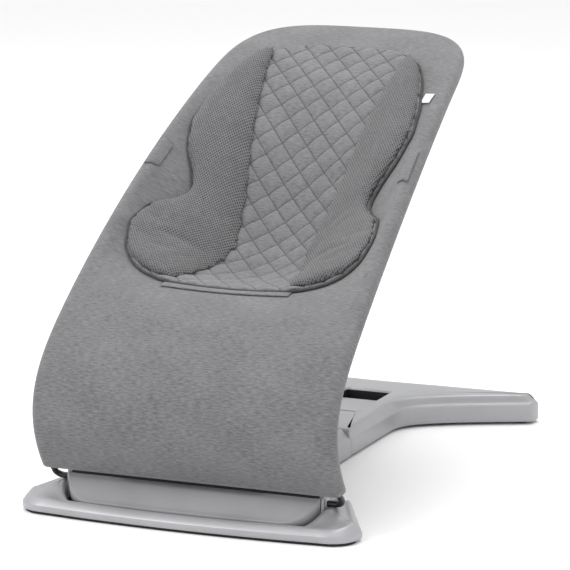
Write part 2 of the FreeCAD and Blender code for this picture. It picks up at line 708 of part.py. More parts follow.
spine_tray = doc.addObject("PartDesign::Body", "spine_tray_body")
inside = half_spine - wall - 0.3
tray_low = size["grip_height"]
tray_profile = loop([
    (-inside, tray_low), (inside, tray_low), (inside, 14.0), (inside - 2.5, 14.0),
    (inside - 2.5, tray_low + 2.5), (-inside + 2.5, tray_low + 2.5), (-inside + 2.5, 14.0), (-inside, 14.0)])
spine_tray_sketch = sketch_on(spine_tray, "spine_tray_profile", "XZ_Plane", tray_profile)
spine_tray_sketch.setExpression(
    "AttachmentOffset.Base.z", "sizes.base_length / 2 - sizes.foot_depth - 0.3")
spine_tray_pad = pad(
    spine_tray, "spine_tray_pad", spine_tray_sketch, "sizes.spine_split - sizes.foot_depth - 0.3")
spine_tray_pad.Reversed = True
keep(spine_tray, "front_spine_tray")

# ---------------------------------------------------------------- rear foot

rear = doc.addObject("PartDesign::Body", "rear_cover_body")
rear_sketch = sketch_on(rear, "rear_outline", "XY_Plane", rear_outline(0.0), "sizes.grip_height + 1")
pad(rear, "rear_pad", rear_sketch, "sizes.spine_top - sizes.grip_height - 1 - sizes.spine_shoulder")
shoulder_low = sketch_on(
    rear, "shoulder_low", "XY_Plane", rear_outline(0.0), "sizes.spine_top - sizes.spine_shoulder")
shoulder_high = sketch_on(
    rear, "shoulder_high", "XY_Plane", rear_outline(size["spine_shoulder"] - 1.0), "sizes.spine_top")
shoulder_loft = rear.newObject("PartDesign::AdditiveLoft", "shoulder_loft")
shoulder_loft.Profile = shoulder_low
shoulder_loft.Sections = [shoulder_high]
shoulder_loft.Ruled = True
rear.Tip = shoulder_loft
rear_hollow = sketch_on(rear, "rear_hollow", "XY_Plane", rear_outline(4.0, 4.0), "sizes.grip_height + 1")
pocket(rear, "rear_hollow_pocket", rear_hollow, "sizes.spine_top - sizes.grip_height - 1 - 15", True)
rear_core = box("rear_core", {
    "Length": "sizes.spine_width - 2 * sizes.spine_shoulder - 2 * sizes.wall",
    "Width": "sizes.rear_bar_front - sizes.spine_split - 14",
    "Height": "sizes.spine_top - sizes.wall",
    "Placement.Base.x": "-sizes.spine_width / 2 + sizes.spine_shoulder + sizes.wall",
    "Placement.Base.y": "-sizes.base_length / 2 + sizes.spine_split + 4"})
well_space = box("well_space", {
    "Length": "sizes.paddle_width + 1", "Width": "sizes.well_length", "Height": "40",
    "Placement.Base.x": "-sizes.paddle_width / 2 - 0.5",
    "Placement.Base.y": "-sizes.base_length / 2 + sizes.paddle_front - 3", "Placement.Base.z": "20"})
split_opening = box("split_opening", {
    "Length": "sizes.spine_width - 40", "Width": "30", "Height": "20",
    "Placement.Base.x": "-sizes.spine_width / 2 + 20",
    "Placement.Base.y": "-sizes.base_length / 2 + sizes.spine_split - 5", "Placement.Base.z": "8"})
rear_tools = fuse("rear_tools", [rear_core, well_space, split_opening])
rear_shell = cut("rear_shell", rear, rear_tools)
bosses = [cylinder_z("boss", 6.0, 30.0, x, y, size["grip_height"] + size["wall"]) for x, y in REAR_SCREWS]
rear_bossed = fuse("rear_bossed", [rear_shell] + bosses)
boss_holes = group("boss_holes", pairs(screw_tools(REAR_SCREWS, 0.1, SCREW_REACH)))
keep(cut("rear_foot_cover", rear_bossed, boss_holes), "rear_foot_cover")

rear_tray = doc.addObject("PartDesign::Body", "rear_tray_body")
rear_tray_sketch = sketch_on(rear_tray, "rear_tray_outline", "XY_Plane", rear_outline(4.3, 4.3), "sizes.grip_height")
pad(rear_tray, "rear_tray_pad", rear_tray_sketch, "sizes.wall")
keep(cut("rear_foot_tray", rear_tray, group("rear_holes", pairs(screw_tools(REAR_SCREWS, 0.1, SCREW_REACH)))), "rear_foot_tray")
keep(group("rear_screws", pairs(screw_tools(REAR_SCREWS, 0.0, SCREW_REACH))), "rear_screws")

pads = [cylinder_z("grip_pad", 10.0, size["grip_height"], x, y, 0.0)
        for x, y in ((-205.0, FRONT + 718.0), (205.0, FRONT + 718.0), (0.0, FRONT + 716.0), (0.0, FRONT + 470.0))]
keep(group("rear_grip_pads", pads), "rear_grip_pads")

# ---------------------------------------------------------------- release

PADDLE_PIN = V(0, FRONT + size["paddle_front"] + 5.0, size["paddle_pin_height"])
well_outer = box("well_outer", {
    "Length": "sizes.paddle_width + 0.6", "Width": "sizes.well_length - 1", "Height": "18.8",
    "Placement.Base.x": "-sizes.paddle_width / 2 - 0.3",
    "Placement.Base.y": "-sizes.base_length / 2 + sizes.paddle_front - 2.5", "Placement.Base.z": "18"})
well_inner = box("well_inner", {
    "Length": "sizes.paddle_width - 2.4", "Width": "sizes.well_length - 4", "Height": "30",
    "Placement.Base.x": "-sizes.paddle_width / 2 + 1.2",
    "Placement.Base.y": "-sizes.base_length / 2 + sizes.paddle_front - 1", "Placement.Base.z": "19.5"})
well_slot = box("well_slot", {
    "Length": "sizes.strap_width + 4", "Width": "24", "Height": "14",
    "Placement.Base.x": "-sizes.strap_width / 2 - 2",
    "Placement.Base.y": "-sizes.base_length / 2 + sizes.paddle_front - 5", "Placement.Base.z": "15"})
well_pin_bore = cylinder_x("well_pin_bore", {
    "Radius": "2", "Height": "sizes.paddle_width + 10",
    "Placement.Base.x": "-sizes.paddle_width / 2 - 5",
    "Placement.Base.y": "-sizes.base_length / 2 + sizes.paddle_front + 5",
    "Placement.Base.z": "sizes.paddle_pin_height"})
well_tools = fuse("well_tools", [well_inner, well_slot, well_pin_bore])
keep(cut("paddle_well", well_outer, well_tools), "paddle_well")

PADDLE_SLOPE = -5.0
paddle_plate = Part.makeBox(
    size["paddle_width"] - 3.0, size["paddle_length"], 4.0,
    V(-(size["paddle_width"] - 3.0) / 2, -5.0, 1.0))
paddle_plate.Placement = FreeCAD.Placement(PADDLE_PIN, FreeCAD.Rotation(V(1, 0, 0), PADDLE_SLOPE))
paddle_arm = Part.makeBox(6.0, 4.0, size["paddle_arm"] + 3.0, PADDLE_PIN + V(-3.0, -2.0, -size["paddle_arm"]))
paddle_boss = Part.makeCylinder(4.0, 40.0, PADDLE_PIN + V(-20.0, 0, 0), V(1, 0, 0))
paddle_bore = Part.makeCylinder(2.05, 70.0, PADDLE_PIN + V(-35.0, 0, 0), V(1, 0, 0))
paddle_shape = paddle_plate.fuse([paddle_boss, paddle_arm]).cut(paddle_bore).removeSplitter()
keep(feature("release_paddle", paddle_shape), "release_paddle")
keep(feature("paddle_pin", Part.makeCylinder(2.0, 67.0, PADDLE_PIN + V(-33.5, 0, 0), V(1, 0, 0))), "paddle_pin")

STRAP_LOW = 23.0
YOKE_FRONT = FRONT + 103.8
YOKE_THICKNESS = 2.2
strap_length = size["paddle_front"] + 12.0 - size["foot_depth"] + 7.0
strap = Part.makeBox(
    size["strap_width"], strap_length, 3.0,
    V(-size["strap_width"] / 2, FRONT + size["foot_depth"] - 7.0, STRAP_LOW))
yoke = Part.makeBox(300.0, YOKE_THICKNESS, 14.0, V(-150.0, YOKE_FRONT, 30.0))
neck = Part.makeBox(
    size["strap_width"], YOKE_THICKNESS, 10.0, V(-size["strap_width"] / 2, YOKE_FRONT, STRAP_LOW))
arm_slot = Part.makeBox(7.0, 7.0, 10.0, PADDLE_PIN + V(-3.5, -3.5, -14.0))
pull_shape = strap.fuse([yoke, neck]).cut(arm_slot).removeSplitter()
keep(feature("pull_strap", pull_shape), "pull_strap")

# ---------------------------------------------------------------- seat frame

radius = size["rail_diameter"] / 2
bore = radius - size["rail_wall"]
PLUG_START = 12.0
PLUG_END = 60.0
for side, word in ((-1, "left"), (1, "right")):
    bend = 11.0
    corner = V(side * 198.0, PIVOT.y, PIVOT.z)
    low = rail_point(0.0, side)
    rise = (low - corner).normalize()
    inward = V(-side, 0, 0)
    bend_in = corner + inward * bend
    bend_out = corner + rise * bend
    centre_way = (inward + rise).normalize()
    spread = inward.getAngle(rise)
    bend_radius = bend * math.tan(spread / 2)
    centre = corner + centre_way * (bend / math.cos(spread / 2))
    bend_mid = centre - centre_way * bend_radius
    wire_end = V(side * 137.0, PIVOT.y, PIVOT.z)
    knee = Part.Wire([
        Part.LineSegment(wire_end, bend_in).toShape(),
        Part.Arc(bend_in, bend_mid, bend_out).toShape(),
        Part.LineSegment(bend_out, low).toShape(),
    ])
    circle = Part.Wire([Part.Circle(wire_end, V(side, 0, 0), size["wire_diameter"] / 2).toShape()])
    lower = knee.makePipeShell([circle], True, False)
    upper_points = [rail_point(at, side) for at in steps(0.0, PLUG_END, 7)]
    upper = tube_along(upper_points, size["wire_diameter"] / 2)
    ball = Part.makeSphere(size["wire_diameter"] / 2, low)
    keep(feature("lower_wire_" + word, lower.fuse([upper, ball]).removeSplitter()), "lower_wire_" + word)

    plug_points = [rail_point(at, side) for at in steps(PLUG_START, PLUG_END, 6)]
    plug = tube_along(plug_points, bore - 0.05, size["wire_diameter"] / 2 + 0.05)
    keep(feature("tube_plug_" + word, plug), "tube_plug_" + word)

    side_points = [rail_point(at, side) for at in steps(PLUG_START, size["rail_joint"] - 0.3, 26)]
    keep(feature("side_tube_" + word, tube_along(side_points, radius, bore)), "side_tube_" + word)

    joiner_points = [rail_point(at, side) for at in steps(size["rail_joint"] - 30.0, size["rail_joint"] + 30.0, 5)]
    keep(feature("tube_joiner_" + word, tube_along(joiner_points, bore - 0.4, bore - 2.0)), "tube_joiner_" + word)

power = size["rail_corner_power"]
diagonal = 0.5 ** (1 / power)
half_top = []
for at in steps(size["rail_joint"], size["rail_corner_start"], 6):
    half_top.append(rail_point(at, 1))
for part in steps(0.0, diagonal, 8)[1:]:
    half_top.append(rail_point(size["rail_corner_start"] + part * size["rail_corner_length"], 1))
for part in steps(diagonal, 0.0, 8)[1:]:
    along = size["rail_corner_start"] + (1 - part ** power) ** (1 / power) * size["rail_corner_length"]
    width = size["rail_half_width"] - size["rail_taper"] * along * along
    y, z = rail_side(along)
    half_top.append(V(width * part, y, z))
other_half = [V(-p.x, p.y, p.z) for p in reversed(half_top[:-1])]
back_slope = rail_heading(size["rail_corner_start"])
back_normal = V(0, -math.sin(back_slope), math.cos(back_slope))
keep(feature("top_tube", tube_along(half_top + other_half, radius, bore, back_normal)), "top_tube")

hem_y, hem_z = rail_side(6.0)
rod_half = rail_half(6.0) - 5.0
keep(feature("hem_rod", Part.makeCylinder(2.0, 2 * rod_half, V(-rod_half, hem_y, hem_z), V(1, 0, 0))), "hem_rod")

# ---------------------------------------------------------------- soft parts

gap = size["layer_gap"]
cover_high = size["cover_thickness"]
insert_low = cover_high + gap
insert_high = insert_low + size["insert_thickness"]
bolster_low = insert_high + gap
bolster_high = bolster_low + size["bolster_thickness"]


def cover_edges(at):
    """The cover reaches past the rail's centre on both sides."""
    reach = rail_half(at) + radius
    return -reach, reach


# Half width of the insert at lengths along the rail: a lobe at the hips, a notch for the
# patches, a lobe at the shoulders and a round top.
INSERT_OUTLINE = [
    (296.0, 92.0), (312.0, 138.0), (345.0, 164.0), (385.0, 170.0), (430.0, 160.0), (462.0, 133.0),
    (482.0, 126.0), (505.0, 132.0), (545.0, 150.0), (585.0, 157.0), (640.0, 150.0), (700.0, 134.0),
    (742.0, 108.0), (768.0, 60.0)]


def insert_half(at):
    """Half width of the insert between the places of its outline."""
    for (a0, w0), (a1, w1) in zip(INSERT_OUTLINE, INSERT_OUTLINE[1:]):
        if at <= a1:
            return w0 + (w1 - w0) * (at - a0) / (a1 - a0)
    return INSERT_OUTLINE[-1][1]


def insert_edges(at):
    """Left and right edge of the quilted insert."""
    return -insert_half(at), insert_half(at)


def bolster_inner(at):
    """Inner edge of a side bolster: closest to the middle at the hips."""
    waist = 424.0
    return 47.0 + (at - waist) * 0.15 if at > waist else 47.0 + (waist - at) * 0.25


def bolster_edges(at):
    """Outer and inner edge of the left side bolster."""
    return 5.0 - insert_half(at), -bolster_inner(at)


def strip_edges(side, inner, outer):
    """Edges of a small patch on one side."""
    return lambda at: (inner, outer) if side > 0 else (-outer, -inner)


cover_stations = steps(4.0, 264.0, 8) + steps(284.0, 444.0, 9) + steps(480.0, 826.0, 11)
cover_knees = (0.0, 8.0, 14.0, 20.0, 28.0)
cover_shape = slab(cover_stations, cover_edges, 0.0, cover_high, 9, cover_knees)
keep(feature("seat_cover", cover_shape), "seat_cover")
insert_stations = [at for at, width in INSERT_OUTLINE]
insert_knees = (0.0, 8.0, 18.0, 30.0)
insert_shape = slab(insert_stations, insert_edges, insert_low, insert_high, 9, insert_knees)
keep(feature("quilted_insert", insert_shape), "quilted_insert")
bolster_stations = [at for at in insert_stations if 320.0 < at < 750.0]
left_bolster = slab(bolster_stations, bolster_edges, bolster_low, bolster_high, columns=8)
for side, word in ((-1, "left"), (1, "right")):
    bolster = left_bolster if side < 0 else left_bolster.mirror(V(), V(1, 0, 0))
    keep(feature("bolster_" + word, bolster), "bolster_" + word)
    patch = slab(
        steps(478.0, 525.0, 4), strip_edges(side, 156.0, 181.0), insert_low, insert_low + 1.5, columns=4)
    keep(feature("toy_patch_" + word, patch), "toy_patch_" + word)

band = slab(steps(278.0, 292.0, 3), lambda at: (-88.0, 88.0), insert_low, insert_low + 2.5)
keep(feature("insert_band", band), "insert_band")
label = slab(steps(655.0, 675.0, 3), strip_edges(1, 150.5, 163.0), insert_low, insert_low + 0.8, columns=3)
keep(feature("blank_label", label), "blank_label")

# ---------------------------------------------------------------- write

doc.recompute()
for obj in doc.Objects:
    if "Invalid" in obj.State or "Error" in obj.State:
        raise RuntimeError("%s failed: %s" % (obj.Label, obj.State))
for obj in nodes:
    if obj.Shape.isNull() or not obj.Shape.isValid():
        raise RuntimeError("%s has no valid shape" % obj.Label)
os.makedirs("parts", exist_ok=True)
for obj in nodes:
    obj.Shape.exportStep("parts/%s.step" % obj.Label)
    print("%-22s solids %d volume %.0f" % (obj.Label, len(obj.Shape.Solids), obj.Shape.Volume))
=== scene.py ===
"""Infant bouncer seat: fabric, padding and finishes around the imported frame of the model."""

import json
import logging
import math
from dataclasses import dataclass
from enum import Enum

import bmesh
import bpy
import numpy as np
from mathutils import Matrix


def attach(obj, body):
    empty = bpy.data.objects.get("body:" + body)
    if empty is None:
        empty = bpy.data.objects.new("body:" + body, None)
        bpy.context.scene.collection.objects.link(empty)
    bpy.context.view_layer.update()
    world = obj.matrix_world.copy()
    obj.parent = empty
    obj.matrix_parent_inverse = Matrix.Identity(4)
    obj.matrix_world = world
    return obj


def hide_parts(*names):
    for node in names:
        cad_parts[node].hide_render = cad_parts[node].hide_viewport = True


Array = np.ndarray
Piece = bpy.types.Object
Node = bpy.types.Node
Colour = tuple[float, float, float]
Output = tuple[Node, str | int]

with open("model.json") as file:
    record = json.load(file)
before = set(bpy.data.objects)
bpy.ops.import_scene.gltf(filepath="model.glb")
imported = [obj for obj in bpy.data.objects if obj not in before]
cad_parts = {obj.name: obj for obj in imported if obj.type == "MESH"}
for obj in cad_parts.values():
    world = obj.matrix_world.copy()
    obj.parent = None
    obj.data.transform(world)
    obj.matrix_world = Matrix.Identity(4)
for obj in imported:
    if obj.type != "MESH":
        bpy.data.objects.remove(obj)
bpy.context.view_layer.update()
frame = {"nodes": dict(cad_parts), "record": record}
LOG = logging.getLogger("bouncer")
MM = 0.001
FRONT = -0.3675
CELL_ACROSS = 35.0
CELL_ALONG = 37.0
WELD = 1e-5
SIM_FRAMES = 20


class Pattern(Enum):
    """Surface patterns that a cloth finish can carry."""

    JERSEY = "jersey"
    QUILT = "quilt"
    MESH = "mesh"


# ---------------------------------------------------------------- mesh tools

def placed(points: Array) -> Array:
    """Points in metres in the frame, from millimetres behind the front edge."""
    return points * MM + np.array([0.0, FRONT, 0.0])


def row(line: Array, height: Array | float) -> Array:
    """Line of places given its height, or its heights."""
    return np.column_stack([line, height + np.zeros(len(line))])


def unit(vectors: Array) -> Array:
    """Vectors scaled to length one."""
    return vectors / np.linalg.norm(vectors, axis=-1, keepdims=True)


def ease(part: Array | float) -> Array | float:
    """Smooth step from 0 to 1: three squares less two cubes."""
    return part * part * (3 - 2 * part)


def cosine_steps(even: Array) -> Array:
    """Steps from 0 to 1 that crowd at both ends: half of one less a cosine."""
    return (1 - np.cos(math.pi * even)) / 2


def set_cloth_uv(mesh: bpy.types.Mesh, pairs: Array) -> None:
    """Give a mesh cloth coordinates, one pair for each point.

    Args:
        mesh: The mesh.
        pairs: Coordinates in metres, one pair for each point.
    """
    layer = mesh.uv_layers.new(name="cloth")
    corner = np.empty(len(mesh.loops), dtype=np.int32)
    mesh.loops.foreach_get("vertex_index", corner)
    layer.data.foreach_set("uv", pairs[corner].astype(np.float32).ravel())


def grid_faces(rows: int, columns: int, first: int = 0, flip: bool = False) -> Array:
    """Quads of a grid of points stored row by row.

    Args:
        rows: Number of rows.
        columns: Number of columns.
        first: Index of the grid's first point.
        flip: Whether to turn the quads over.

    Returns:
        An array of quads.
    """
    index = first + np.arange(rows * columns).reshape(rows, columns)
    quads = np.stack([index[:-1, :-1], index[:-1, 1:], index[1:, 1:], index[1:, :-1]], axis=-1)
    quads = quads.reshape(-1, 4)
    return quads[:, ::-1] if flip else quads


def signed_volume(points: Array, quads: Array) -> float:
    """Volume enclosed by quads, positive when they face outwards.

    Args:
        points: Points of the surface.
        quads: Quads that index the points.

    Returns:
        The volume.
    """
    a, b, c, d = (points[quads[:, i]] for i in range(4))
    halves = np.cross(a, b) * c + np.cross(a, c) * d
    return float(halves.sum() / 6.0)


def new_piece(name: str, points: Array, quads: Array, uv: Array | None = None,
              merge: float = 0.0) -> Piece:
    """Make a smooth mesh object whose closed surface faces outwards.

    Args:
        name: Name of the object.
        points: Points, in metres.
        quads: Quads that index the points.
        uv: One pair of texture coordinates for each point, in metres.
        merge: Distance under which points are joined, or none when 0.

    Returns:
        The object, linked to the scene at the origin.
    """
    if signed_volume(points, quads) < 0:
        quads = quads[:, ::-1]
    mesh = bpy.data.meshes.new(name)
    mesh.from_pydata(points.tolist(), [], quads.tolist())
    mesh.update()
    if uv is not None:
        set_cloth_uv(mesh, uv)
    if merge:
        work = bmesh.new()
        work.from_mesh(mesh)
        bmesh.ops.remove_doubles(work, verts=work.verts, dist=merge)
        bmesh.ops.dissolve_degenerate(work, edges=work.edges, dist=merge / 10)
        bmesh.ops.holes_fill(work, edges=[e for e in work.edges if e.is_boundary], sides=0)
        work.to_mesh(mesh)
        work.free()
    mesh.polygons.foreach_set("use_smooth", np.ones(len(mesh.polygons), dtype=bool))
    piece = bpy.data.objects.new(name, mesh)
    bpy.context.scene.collection.objects.link(piece)
    return piece


def skin_piece(name: str, grid: Array, uv: Array | None = None,
               merge: float = WELD) -> Piece:
    """Make a grid of points, whose edges meet, into a closed piece.

    Args:
        name: Name of the object.
        grid: Points in metres, rows by columns by 3.
        uv: Texture coordinates of the grid.
        merge: Distance under which points are joined.

    Returns:
        The closed piece.
    """
    rows, columns = grid.shape[:2]
    pairs = None if uv is None else uv.reshape(-1, 2)
    return new_piece(name, grid.reshape(-1, 3), grid_faces(rows, columns), pairs, merge)


def pad_piece(name: str, top: Array, bottom: Array, uv: Array) -> Piece:
    """Close two grids of the same size, face to face, into one padded piece.

    Args:
        name: Name of the object.
        top: Upper grid, rows by columns by 3.
        bottom: Lower grid of the same size.
        uv: Texture coordinates of the upper grid, which the lower one repeats.

    Returns:
        The closed piece.
    """
    rows, columns = top.shape[:2]
    count = rows * columns
    index = np.arange(count).reshape(rows, columns)
    border = np.concatenate([
        index[0, :], index[1:, -1], index[-1, -2::-1], index[-2:0:-1, 0]])
    following = np.roll(border, -1)
    sides = np.stack([border, border + count, following + count, following], axis=-1)
    quads = np.concatenate([
        grid_faces(rows, columns), grid_faces(rows, columns, count, flip=True), sides])
    points = np.concatenate([top.reshape(-1, 3), bottom.reshape(-1, 3)])
    both = np.concatenate([uv.reshape(-1, 2)] * 2)
    return new_piece(name, points, quads, both)


def tube_piece(name: str, line: Array, radius: float, sides: int = 10,
               closed: bool = False) -> Piece:
    """Round bar along a line: circles that stand square to it, joined into a tube.

    Args:
        name: Name of the object.
        line: Points along the middle.
        radius: Radius of the bar.
        sides: Points round each circle.
        closed: Whether the line's ends meet.

    Returns:
        The tube, with its ends closed.
    """
    if closed:
        tangent = np.roll(line, -1, axis=0) - np.roll(line, 1, axis=0)
    else:
        tangent = np.gradient(line, axis=0)
    tangent = unit(tangent)
    guide = np.array([0.0, -0.5, 0.85])
    across = unit(np.cross(tangent, guide))
    up = np.cross(across, tangent)
    angle = np.linspace(0.0, 2 * math.pi, sides + 1)[None, :, None]
    ring = np.cos(angle) * across[:, None] + np.sin(angle) * up[:, None]
    points = line[:, None] + radius * ring
    if closed:
        points = np.concatenate([points, points[:1]])
    along = np.linspace(0.0, 1.0, len(points))[:, None] + np.zeros(sides + 1)
    return skin_piece(name, points, np.stack([along, along * 0], axis=-1))


def keep_active(piece: Piece) -> None:
    """Make a piece the only selected and active one.

    Args:
        piece: The piece.
    """
    bpy.ops.object.select_all(action="DESELECT")
    piece.select_set(True)
    bpy.context.view_layer.objects.active = piece


def coordinates(piece: Piece) -> Array:
    """Points of a piece's mesh as an array.

    Args:
        piece: Mesh piece.

    Returns:
        Its points, in metres.
    """
    places = np.empty(len(piece.data.vertices) * 3, dtype=np.float32)
    piece.data.vertices.foreach_get("co", places)
    return places.reshape(-1, 3).astype(float)


@dataclass(frozen=True)
class Stuffing:
    """Settings of the cloth simulation, with sizes in metres.

    The cap is the furthest that a point may move, and points lower than held above the
    seat's cloth are pinned.
    """

    voxel: float = 0.005
    pressure: float = 4.0
    cap: float = 0.007
    held: float = 0.008
    stretch: float = 12.0
    bending: float = 0.6
    quality: int = 6


def stuff(piece: Piece, filling: Stuffing) -> Piece:
    """Swell a closed piece as stuffed cloth and apply the result.

    The mesh is remeshed in even voxels and swollen by a cloth simulation without gravity.
    Points near the sewn base stay put, and the others move no further than the cap.

    Args:
        piece: Closed mesh piece.
        filling: Settings of the simulation.

    Returns:
        The same piece, swollen, with one level of subdivision.
    """
    keep_active(piece)
    remesh = piece.modifiers.new("remesh", "REMESH")
    remesh.mode = "VOXEL"
    remesh.voxel_size = filling.voxel
    remesh.use_smooth_shade = True
    bpy.ops.object.modifier_apply(modifier=remesh.name)
    before = coordinates(piece)
    _, raised = SLING.locate(before)
    pinned = np.nonzero(raised < filling.held)[0]
    group = piece.vertex_groups.new(name="sewn")
    group.add(pinned.tolist(), 1.0, "REPLACE")
    cloth = piece.modifiers.new("cloth", "CLOTH")
    settings = cloth.settings
    settings.quality = filling.quality
    settings.use_pressure = True
    settings.uniform_pressure_force = filling.pressure
    settings.tension_stiffness = filling.stretch
    settings.compression_stiffness = filling.stretch
    settings.bending_stiffness = filling.bending
    settings.vertex_group_mass = group.name
    settings.effector_weights.gravity = 0.0
    cloth.collision_settings.use_collision = False
    cloth.point_cache.frame_start = 1
    cloth.point_cache.frame_end = SIM_FRAMES
    for step in range(1, SIM_FRAMES + 1):
        bpy.context.scene.frame_set(step)
    shape = piece.evaluated_get(bpy.context.evaluated_depsgraph_get())
    after = np.empty(len(shape.data.vertices) * 3, dtype=np.float32)
    shape.data.vertices.foreach_get("co", after)
    move = after.reshape(-1, 3).astype(float) - before
    size = np.linalg.norm(move, axis=1, keepdims=True)
    move *= np.minimum(1.0, filling.cap / np.maximum(size, 1e-9))
    piece.modifiers.clear()
    piece.vertex_groups.clear()
    piece.data.vertices.foreach_set("co", (before + move).astype(np.float32).ravel())
    bpy.context.scene.frame_set(1)
    smooth = piece.modifiers.new("smooth", "SUBSURF")
    smooth.levels = 1
    smooth.render_levels = 1
    bpy.ops.object.modifier_apply(modifier=smooth.name)
    piece.data.polygons.foreach_set("use_smooth", np.ones(len(piece.data.polygons), dtype=bool))
    LOG.info("stuffed %s: %d points moved up to %.1f mm", piece.name, len(move), size.max() / MM)
    return piece


def lay_cloth(piece: Piece) -> Piece:
    """Give a piece cloth coordinates: across the seat, and along its rail.

    Args:
        piece: Mesh piece near the seat.

    Returns:
        The same piece.
    """
    places = coordinates(piece)
    at, _ = SLING.locate(places)
    while piece.data.uv_layers:
        piece.data.uv_layers.remove(piece.data.uv_layers[0])
    set_cloth_uv(piece.data, np.stack([places[:, 0], at * MM], axis=-1))
    return piece


# ---------------------------------------------------------------- materials

class Nodes:
    """Short way to build a procedural material."""

    def __init__(self, name: str) -> None:
        """Start an empty material with one principled surface.

        Args:
            name: Name of the material.
        """
        self.material = bpy.data.materials.new(name)
        self.material.use_nodes = True
        self.tree = self.material.node_tree
        self.tree.nodes.clear()
        self.surface = self.add("BsdfPrincipled")
        output = self.add("OutputMaterial")
        self.link(self.surface, "BSDF", output, "Surface")

    def add(self, kind: str, **settings: object) -> Node:
        """Add a shader node of a kind and set its properties.

        Args:
            kind: Kind of node, without its prefix.
            settings: Properties by name.

        Returns:
            The node.
        """
        node = self.tree.nodes.new("ShaderNode" + kind)
        for key, value in settings.items():
            setattr(node, key, value)
        return node

    def link(self, source: Node, out: str | int, target: Node,
             into: str | int) -> None:
        """Join an output to an input."""
        self.tree.links.new(source.outputs[out], target.inputs[into])

    def mapped(self, output: str, scale: tuple[float, float, float],
               turn: float = 0.0) -> Node:
        """Coordinates scaled, and turned about Z by degrees.

        Args:
            output: Which coordinates to read.
            scale: Scale along each axis.
            turn: Turn about Z, in degrees.

        Returns:
            The mapping node.
        """
        place = self.add("TexCoord")
        mapping = self.add("Mapping")
        self.set(mapping, Scale=scale, Rotation=(0.0, 0.0, math.radians(turn)))
        self.link(place, output, mapping, "Vector")
        return mapping

    def noise(self, mapping: Node, scale: float, detail: float = 3.0,
              roughness: float = 0.55) -> Node:
        """Noise on mapped coordinates.

        Args:
            mapping: Mapping node that feeds it.
            scale: Scale of the noise.
            detail: Number of finer layers.
            roughness: Strength of the finer layers.

        Returns:
            The noise node.
        """
        node = self.add("TexNoise")
        self.set(node, Scale=scale, Detail=detail, Roughness=roughness)
        self.link(mapping, "Vector", node, "Vector")
        return node

    def ramp(self, source: Node, out: str | int,
             stops: list[tuple[float, Colour]]) -> Node:
        """Colours along a value.

        Args:
            source: Node that gives the value.
            out: Its output.
            stops: Places and the colour at each.

        Returns:
            The ramp node.
        """
        node = self.add("ValToRGB")
        elements = node.color_ramp.elements
        while len(elements) < len(stops):
            elements.new(0.5)
        for element, (place, colour) in zip(elements, stops):
            element.position = place
            element.color = (*colour, 1.0)
        self.link(source, out, node, "Fac")
        return node

    def math(self, operation: str, first: Output, second: Output | float) -> Node:
        """Arithmetic on one output and another output or a number.

        Args:
            operation: Name of the operation.
            first: First output.
            second: Second output, or a number.

        Returns:
            The math node.
        """
        node = self.add("Math", operation=operation)
        self.link(first[0], first[1], node, 0)
        if isinstance(second, tuple):
            self.link(second[0], second[1], node, 1)
        else:
            node.inputs[1].default_value = second
        return node

    def mix(self, factor: Output, first: Output, colour: Colour) -> Node:
        """Blend an output towards a colour by a factor.

        Args:
            factor: Output that says how much.
            first: Output to start from.
            colour: Colour to blend towards.

        Returns:
            The mix node, whose third output is the colour.
        """
        node = self.add("Mix", data_type="RGBA", blend_type="MIX")
        self.link(factor[0], factor[1], node, 0)
        self.link(first[0], first[1], node, 6)
        node.inputs[7].default_value = (*colour, 1.0)
        return node

    def bump(self, height: Output, distance: float, strength: float) -> None:
        """Bump the surface by an output.

        Args:
            height: Output that gives the height.
            distance: Height of the relief, in metres.
            strength: Strength of the relief.
        """
        node = self.add("Bump")
        self.set(node, Distance=distance, Strength=strength)
        self.link(height[0], height[1], node, "Height")
        self.link(node, "Normal", self.surface, "Normal")

    def set(self, node: Node | None = None, **values: float | tuple[float, ...]) -> None:
        """Set sockets of a node, or the surface, with spaces written as underscores."""
        for key, value in values.items():
            (node or self.surface).inputs[key.replace("_", " ")].default_value = value


def grey(value: float, blue: float = 1.0) -> Colour:
    """A grey with a little more or less blue."""
    return value, value, value * blue


